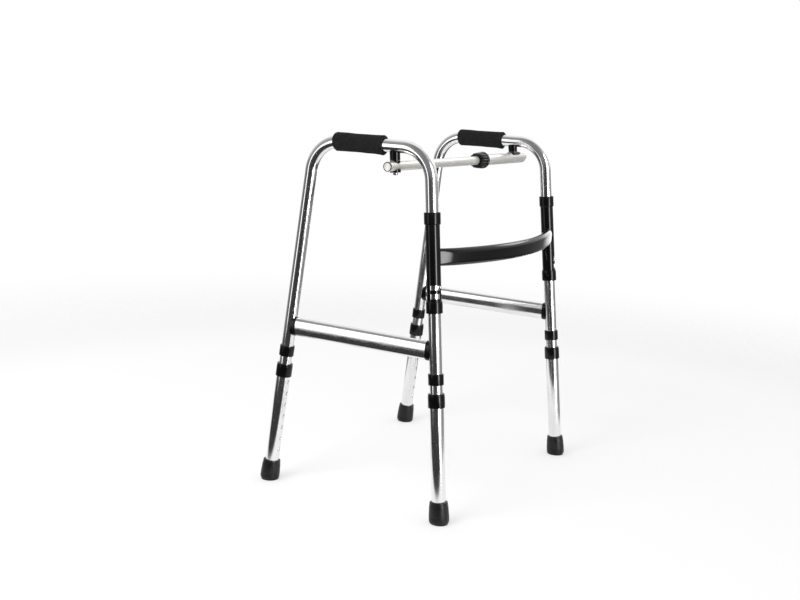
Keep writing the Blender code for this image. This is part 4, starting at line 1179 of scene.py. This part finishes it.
def pivot_nut():
    """Domed nut under the lower saddle."""
    face = -(ROD_RADIUS + LOWER_SADDLE + SEAT_GAP)
    hole = BOLT_RADIUS + SEAT_GAP
    corners = [
        (0, face - NUT_HEIGHT), (NUT_CROWN_RADIUS, face - NUT_HEIGHT, BROAD_EDGE),
        (NUT_RADIUS, face - NUT_SHOULDER, NUT_SHOULDER_EDGE), (NUT_RADIUS, face, FINE_EDGE),
        (hole, face), (hole, face - NUT_DEPTH),
        (0, face - NUT_DEPTH),
    ]
    return turned(corners, SMALL_SIDES), pivot_frame(RIGHT)


def link_tube():
    mouth, end = link_length() - LINK_TUBE_MOUTH, link_length() + LINK_TUBE_OVERHANG - LINK_CAP
    return tube(LINK_TUBE_RADIUS, LINK_TUBE_RADIUS - TUBE_WALL, mouth, end), link_frame()


def link_tube_cap():
    """Tapered plug that closes the outer end of the link tube."""
    end = link_length() + LINK_TUBE_OVERHANG
    start = end - LINK_CAP + SEAT_GAP
    spigot = LINK_TUBE_RADIUS - TUBE_WALL - SEAT_GAP
    corners = [
        (0, start - LINK_SPIGOT), (spigot, start - LINK_SPIGOT, MOUTH_EDGE),
        (spigot, start), (LINK_TUBE_RADIUS, start, BROAD_EDGE),
        (LINK_CAP_RADIUS, end, ROUND_EDGE), (0, end),
    ]
    return turned(corners), link_frame()


def link_tube_saddle():
    """Long saddle on top of the link tube, under the left post."""
    base = plate(TUBE_SADDLE_WIDTH, TUBE_SADDLE_LENGTH)
    crown = plate(TUBE_SADDLE_TOP_WIDTH, TUBE_SADDLE_TOP_LENGTH)
    skirt = LINK_TUBE_RADIUS - SADDLE_WRAP
    levels = ((base, skirt), (base, skirt + SADDLE_WRAP / 2), (crown, post_seat(LEFT) - LINK_PIVOT_GAP))
    rings = [[Vector((x, y, height)) for x, y in section] for section, height in levels]
    hollow = bar(LINK_TUBE_RADIUS + SEAT_GAP, link_length(), TUBE_SADDLE_LENGTH)
    matrix = pivot_frame(LEFT) @ Matrix.Rotation(pi / 2, 4, "Z")
    return hollowed(loft(rings), matrix, hollow, link_frame())


def clamp_ring(radius, height, ribbed=False):
    """Ring of the clamp nut, with rounded grooves between its ribs where it is ribbed."""
    sides = CLAMP_RIBS * CLAMP_RIB_STEPS
    ring = []
    for k in range(sides):
        angle = tau * k / sides
        wave = 0.5 - 0.5 * cos(CLAMP_RIBS * angle)
        r = radius - (CLAMP_RIB_DEPTH * wave ** CLAMP_RIB_WIDTH if ribbed else 0)
        ring.append(Vector((r * cos(angle), r * sin(angle), height)))
    return ring


def clamp_nut():
    """Tapered, ribbed nut that locks the length of the link, with a smooth rim behind a groove."""
    front, back = link_length() - CLAMP_FRONT, link_length() - CLAMP_BACK
    neck = back - CLAMP_RIM
    bore, cavity = ROD_RADIUS + SLIDE_GAP, LINK_TUBE_RADIUS + SEAT_GAP
    face, outer, edge = CLAMP_FRONT_RADIUS, CLAMP_RADIUS, CLAMP_EDGE
    outline = (
        (bore, front + SOFT_EDGE), (bore + SOFT_EDGE, front),
        (face - 2 * edge, front), (face - FINE_EDGE, front + MOUTH_EDGE, True),
        (face, front + FULL_EDGE, True), (outer - HAIR_EDGE, neck - 2 * edge, True),
        (outer - FINE_EDGE, neck - edge, True), (outer - 1.4 * edge, neck - 0.3 * edge),
        (outer - 1.4 * edge, neck + 0.3 * edge), (outer - 0.4 * edge, neck + edge),
        (outer, neck + 2 * edge), (outer, back - 2 * edge),
        (outer - 0.4 * edge, back - 0.6 * edge), (outer - 1.5 * edge, back),
        (cavity, back), (cavity, front + CLAMP_LIP),
        (bore, front + CLAMP_LIP),
    )
    return loft([clamp_ring(*row) for row in outline], closed=True), link_frame()


SIDE_PIECES = (sleeve, sleeve_top_bush, sleeve_bottom_bush, fold_button, frame_tube, grip, cross_tube,
               link_post)
LEG_PIECES = (cross_saddle, leg_connector, height_tube, height_button, leg_tube, leg_collar, foot)
LINK_PIECES = (link_rod, link_rod_cap, pivot_upper_saddle, pivot_lower_saddle, pivot_nut, link_tube,
               link_tube_cap, link_tube_saddle, clamp_nut)


def build_pieces(dress):
    dress.put("front_brace", *front_brace())
    for side, side_name in SIDE_NAMES.items():
        for piece in SIDE_PIECES:
            obj = dress.put("{}_{}".format(piece.__name__, side_name), *piece(side))
        for end, end_name in END_NAMES.items():
            for piece in LEG_PIECES:
                dress.put("{}_{}_{}".format(piece.__name__, end_name, side_name), *piece(side, end))
    for piece in LINK_PIECES:
        dress.put(piece.__name__, *piece())
    dress.add("link_rod_cap_face", "link_rod", *link_rod_cap_face())
    dress.paint_rest()


# Studio

def studio_world():
    """White to the camera, even light on matt surfaces, and bright and dark sides in reflections."""
    world = bpy.data.worlds.new("studio")
    bpy.context.scene.world = world
    world.cycles.sampling_method = "NONE"
    nodes = Nodes(world)
    direction = nodes.add("TexCoord").outputs["Generated"]
    x, y, z = nodes.add("SeparateXYZ", direction).outputs
    turn = nodes.times(nodes.math("ARCTAN2", x, y), 180 / pi)
    azimuth = nodes.math("MODULO", nodes.plus(turn, 360), 360)
    rise = nodes.times(nodes.math("ARCSINE", z), 180 / pi)
    walls = nodes.times(nodes.around(azimuth, WALLS), nodes.step(rise, *WALL_RISE, WALL_FOOT, 1))
    reflected = nodes.blend(nodes.step(rise, *SKY_RISE), walls, nodes.around(azimuth, SKY))
    for west, east, side_soft, low, high, rise_soft, strength in WINDOWS:
        pane = nodes.times(nodes.within(azimuth, west, east, side_soft),
                           nodes.within(rise, low, high, rise_soft))
        reflected = nodes.plus(reflected, nodes.times(pane, strength))
    camera, mirrored = nodes.rays()
    strength = nodes.blend(camera, nodes.blend(mirrored, EVEN_LIGHT, reflected), 1)
    nodes.finish("Background", Color=(1, 1, 1, 1), Strength=strength)


def floor_material():
    """White floor that keeps the shadows and thins out to the white background.

    Reflections see a white sheet under the frame and a dark apron beside it.
    """
    nodes = material_nodes("studio_floor")
    place = nodes.add("TexCoord").outputs["Object"]
    radius = nodes.measure("LENGTH", place)
    camera, mirrored = nodes.rays()
    beside = nodes.measure("DOT_PRODUCT", place, (sin(APRON_TURN), cos(APRON_TURN), 0))
    apron = nodes.step(beside, *APRON_START)
    sheet_end = nodes.step(nodes.measure("DISTANCE", place, SHEET_MIDDLE), *SHEET_FADE)
    gone = nodes.math("MAXIMUM", nodes.minus(sheet_end, apron), nodes.step(radius, *APRON_FADE))
    clear = nodes.blend(mirrored, nodes.step(radius, *FLOOR_FADE), gone)
    pale = nodes.minus(FLOOR_LIGHT, nodes.times(camera, CAMERA_DARKER))
    dark = nodes.times(nodes.times(mirrored, apron), APRON_DARKER)
    sheet = nodes.times(mirrored, nodes.minus(1, apron))
    paper = nodes.add("BsdfDiffuse", Color=nodes.minus(pale, dark))
    strength = nodes.plus(nodes.times(camera, CAMERA_GLOW), nodes.times(sheet, SHEET_GLOW))
    glow = nodes.add("Emission", Strength=strength)
    lit = nodes.add("AddShader", paper.outputs[0], glow.outputs[0])
    glass = nodes.add("BsdfTransparent")
    return nodes.finish("MixShader", clear, lit.outputs[0], glass.outputs[0])


def make_floor():
    mesh = bar(FLOOR_RADIUS, FLOOR_MIDDLE, FLOOR_THICK / 2, LARGE_SIDES)
    mesh.materials.append(floor_material())
    obj = stand("studio_floor", mesh)


def make_lamp():
    """Soft square lamp that lights matt surfaces; its reflections come from the studio instead."""
    data = bpy.data.lights.new("key", "AREA")
    data.shape = "SQUARE"
    data.size = LAMP_SIZE
    data.energy = LAMP_POWER
    lamp = stand("key", data)
    lamp.location = LAMP_PLACE
    lamp.rotation_euler = (Vector(LAMP_TARGET) - Vector(LAMP_PLACE)).to_track_quat("-Z", "Y").to_euler()
    lamp.visible_glossy = False


def make_camera():
    data = bpy.data.cameras.new("camera")
    data.lens = LENS_MM
    data.sensor_width = SENSOR_MM
    camera = stand("camera", data)
    turn = Matrix.Rotation(CAMERA_YAW, 4, "Z") @ Matrix.Rotation(pi / 2 + CAMERA_PITCH, 4, "X")
    camera.matrix_world = Matrix.Translation(CAMERA_PLACE) @ turn @ Matrix.Rotation(CAMERA_ROLL, 4, "Z")
    bpy.context.scene.camera = camera


def main():
    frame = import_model()
    bpy.context.scene.view_settings.view_transform = "Standard"
    build_pieces(Dresser(frame, make_materials()))
    make_floor()
    studio_world()
    make_lamp()
    make_camera()


main()
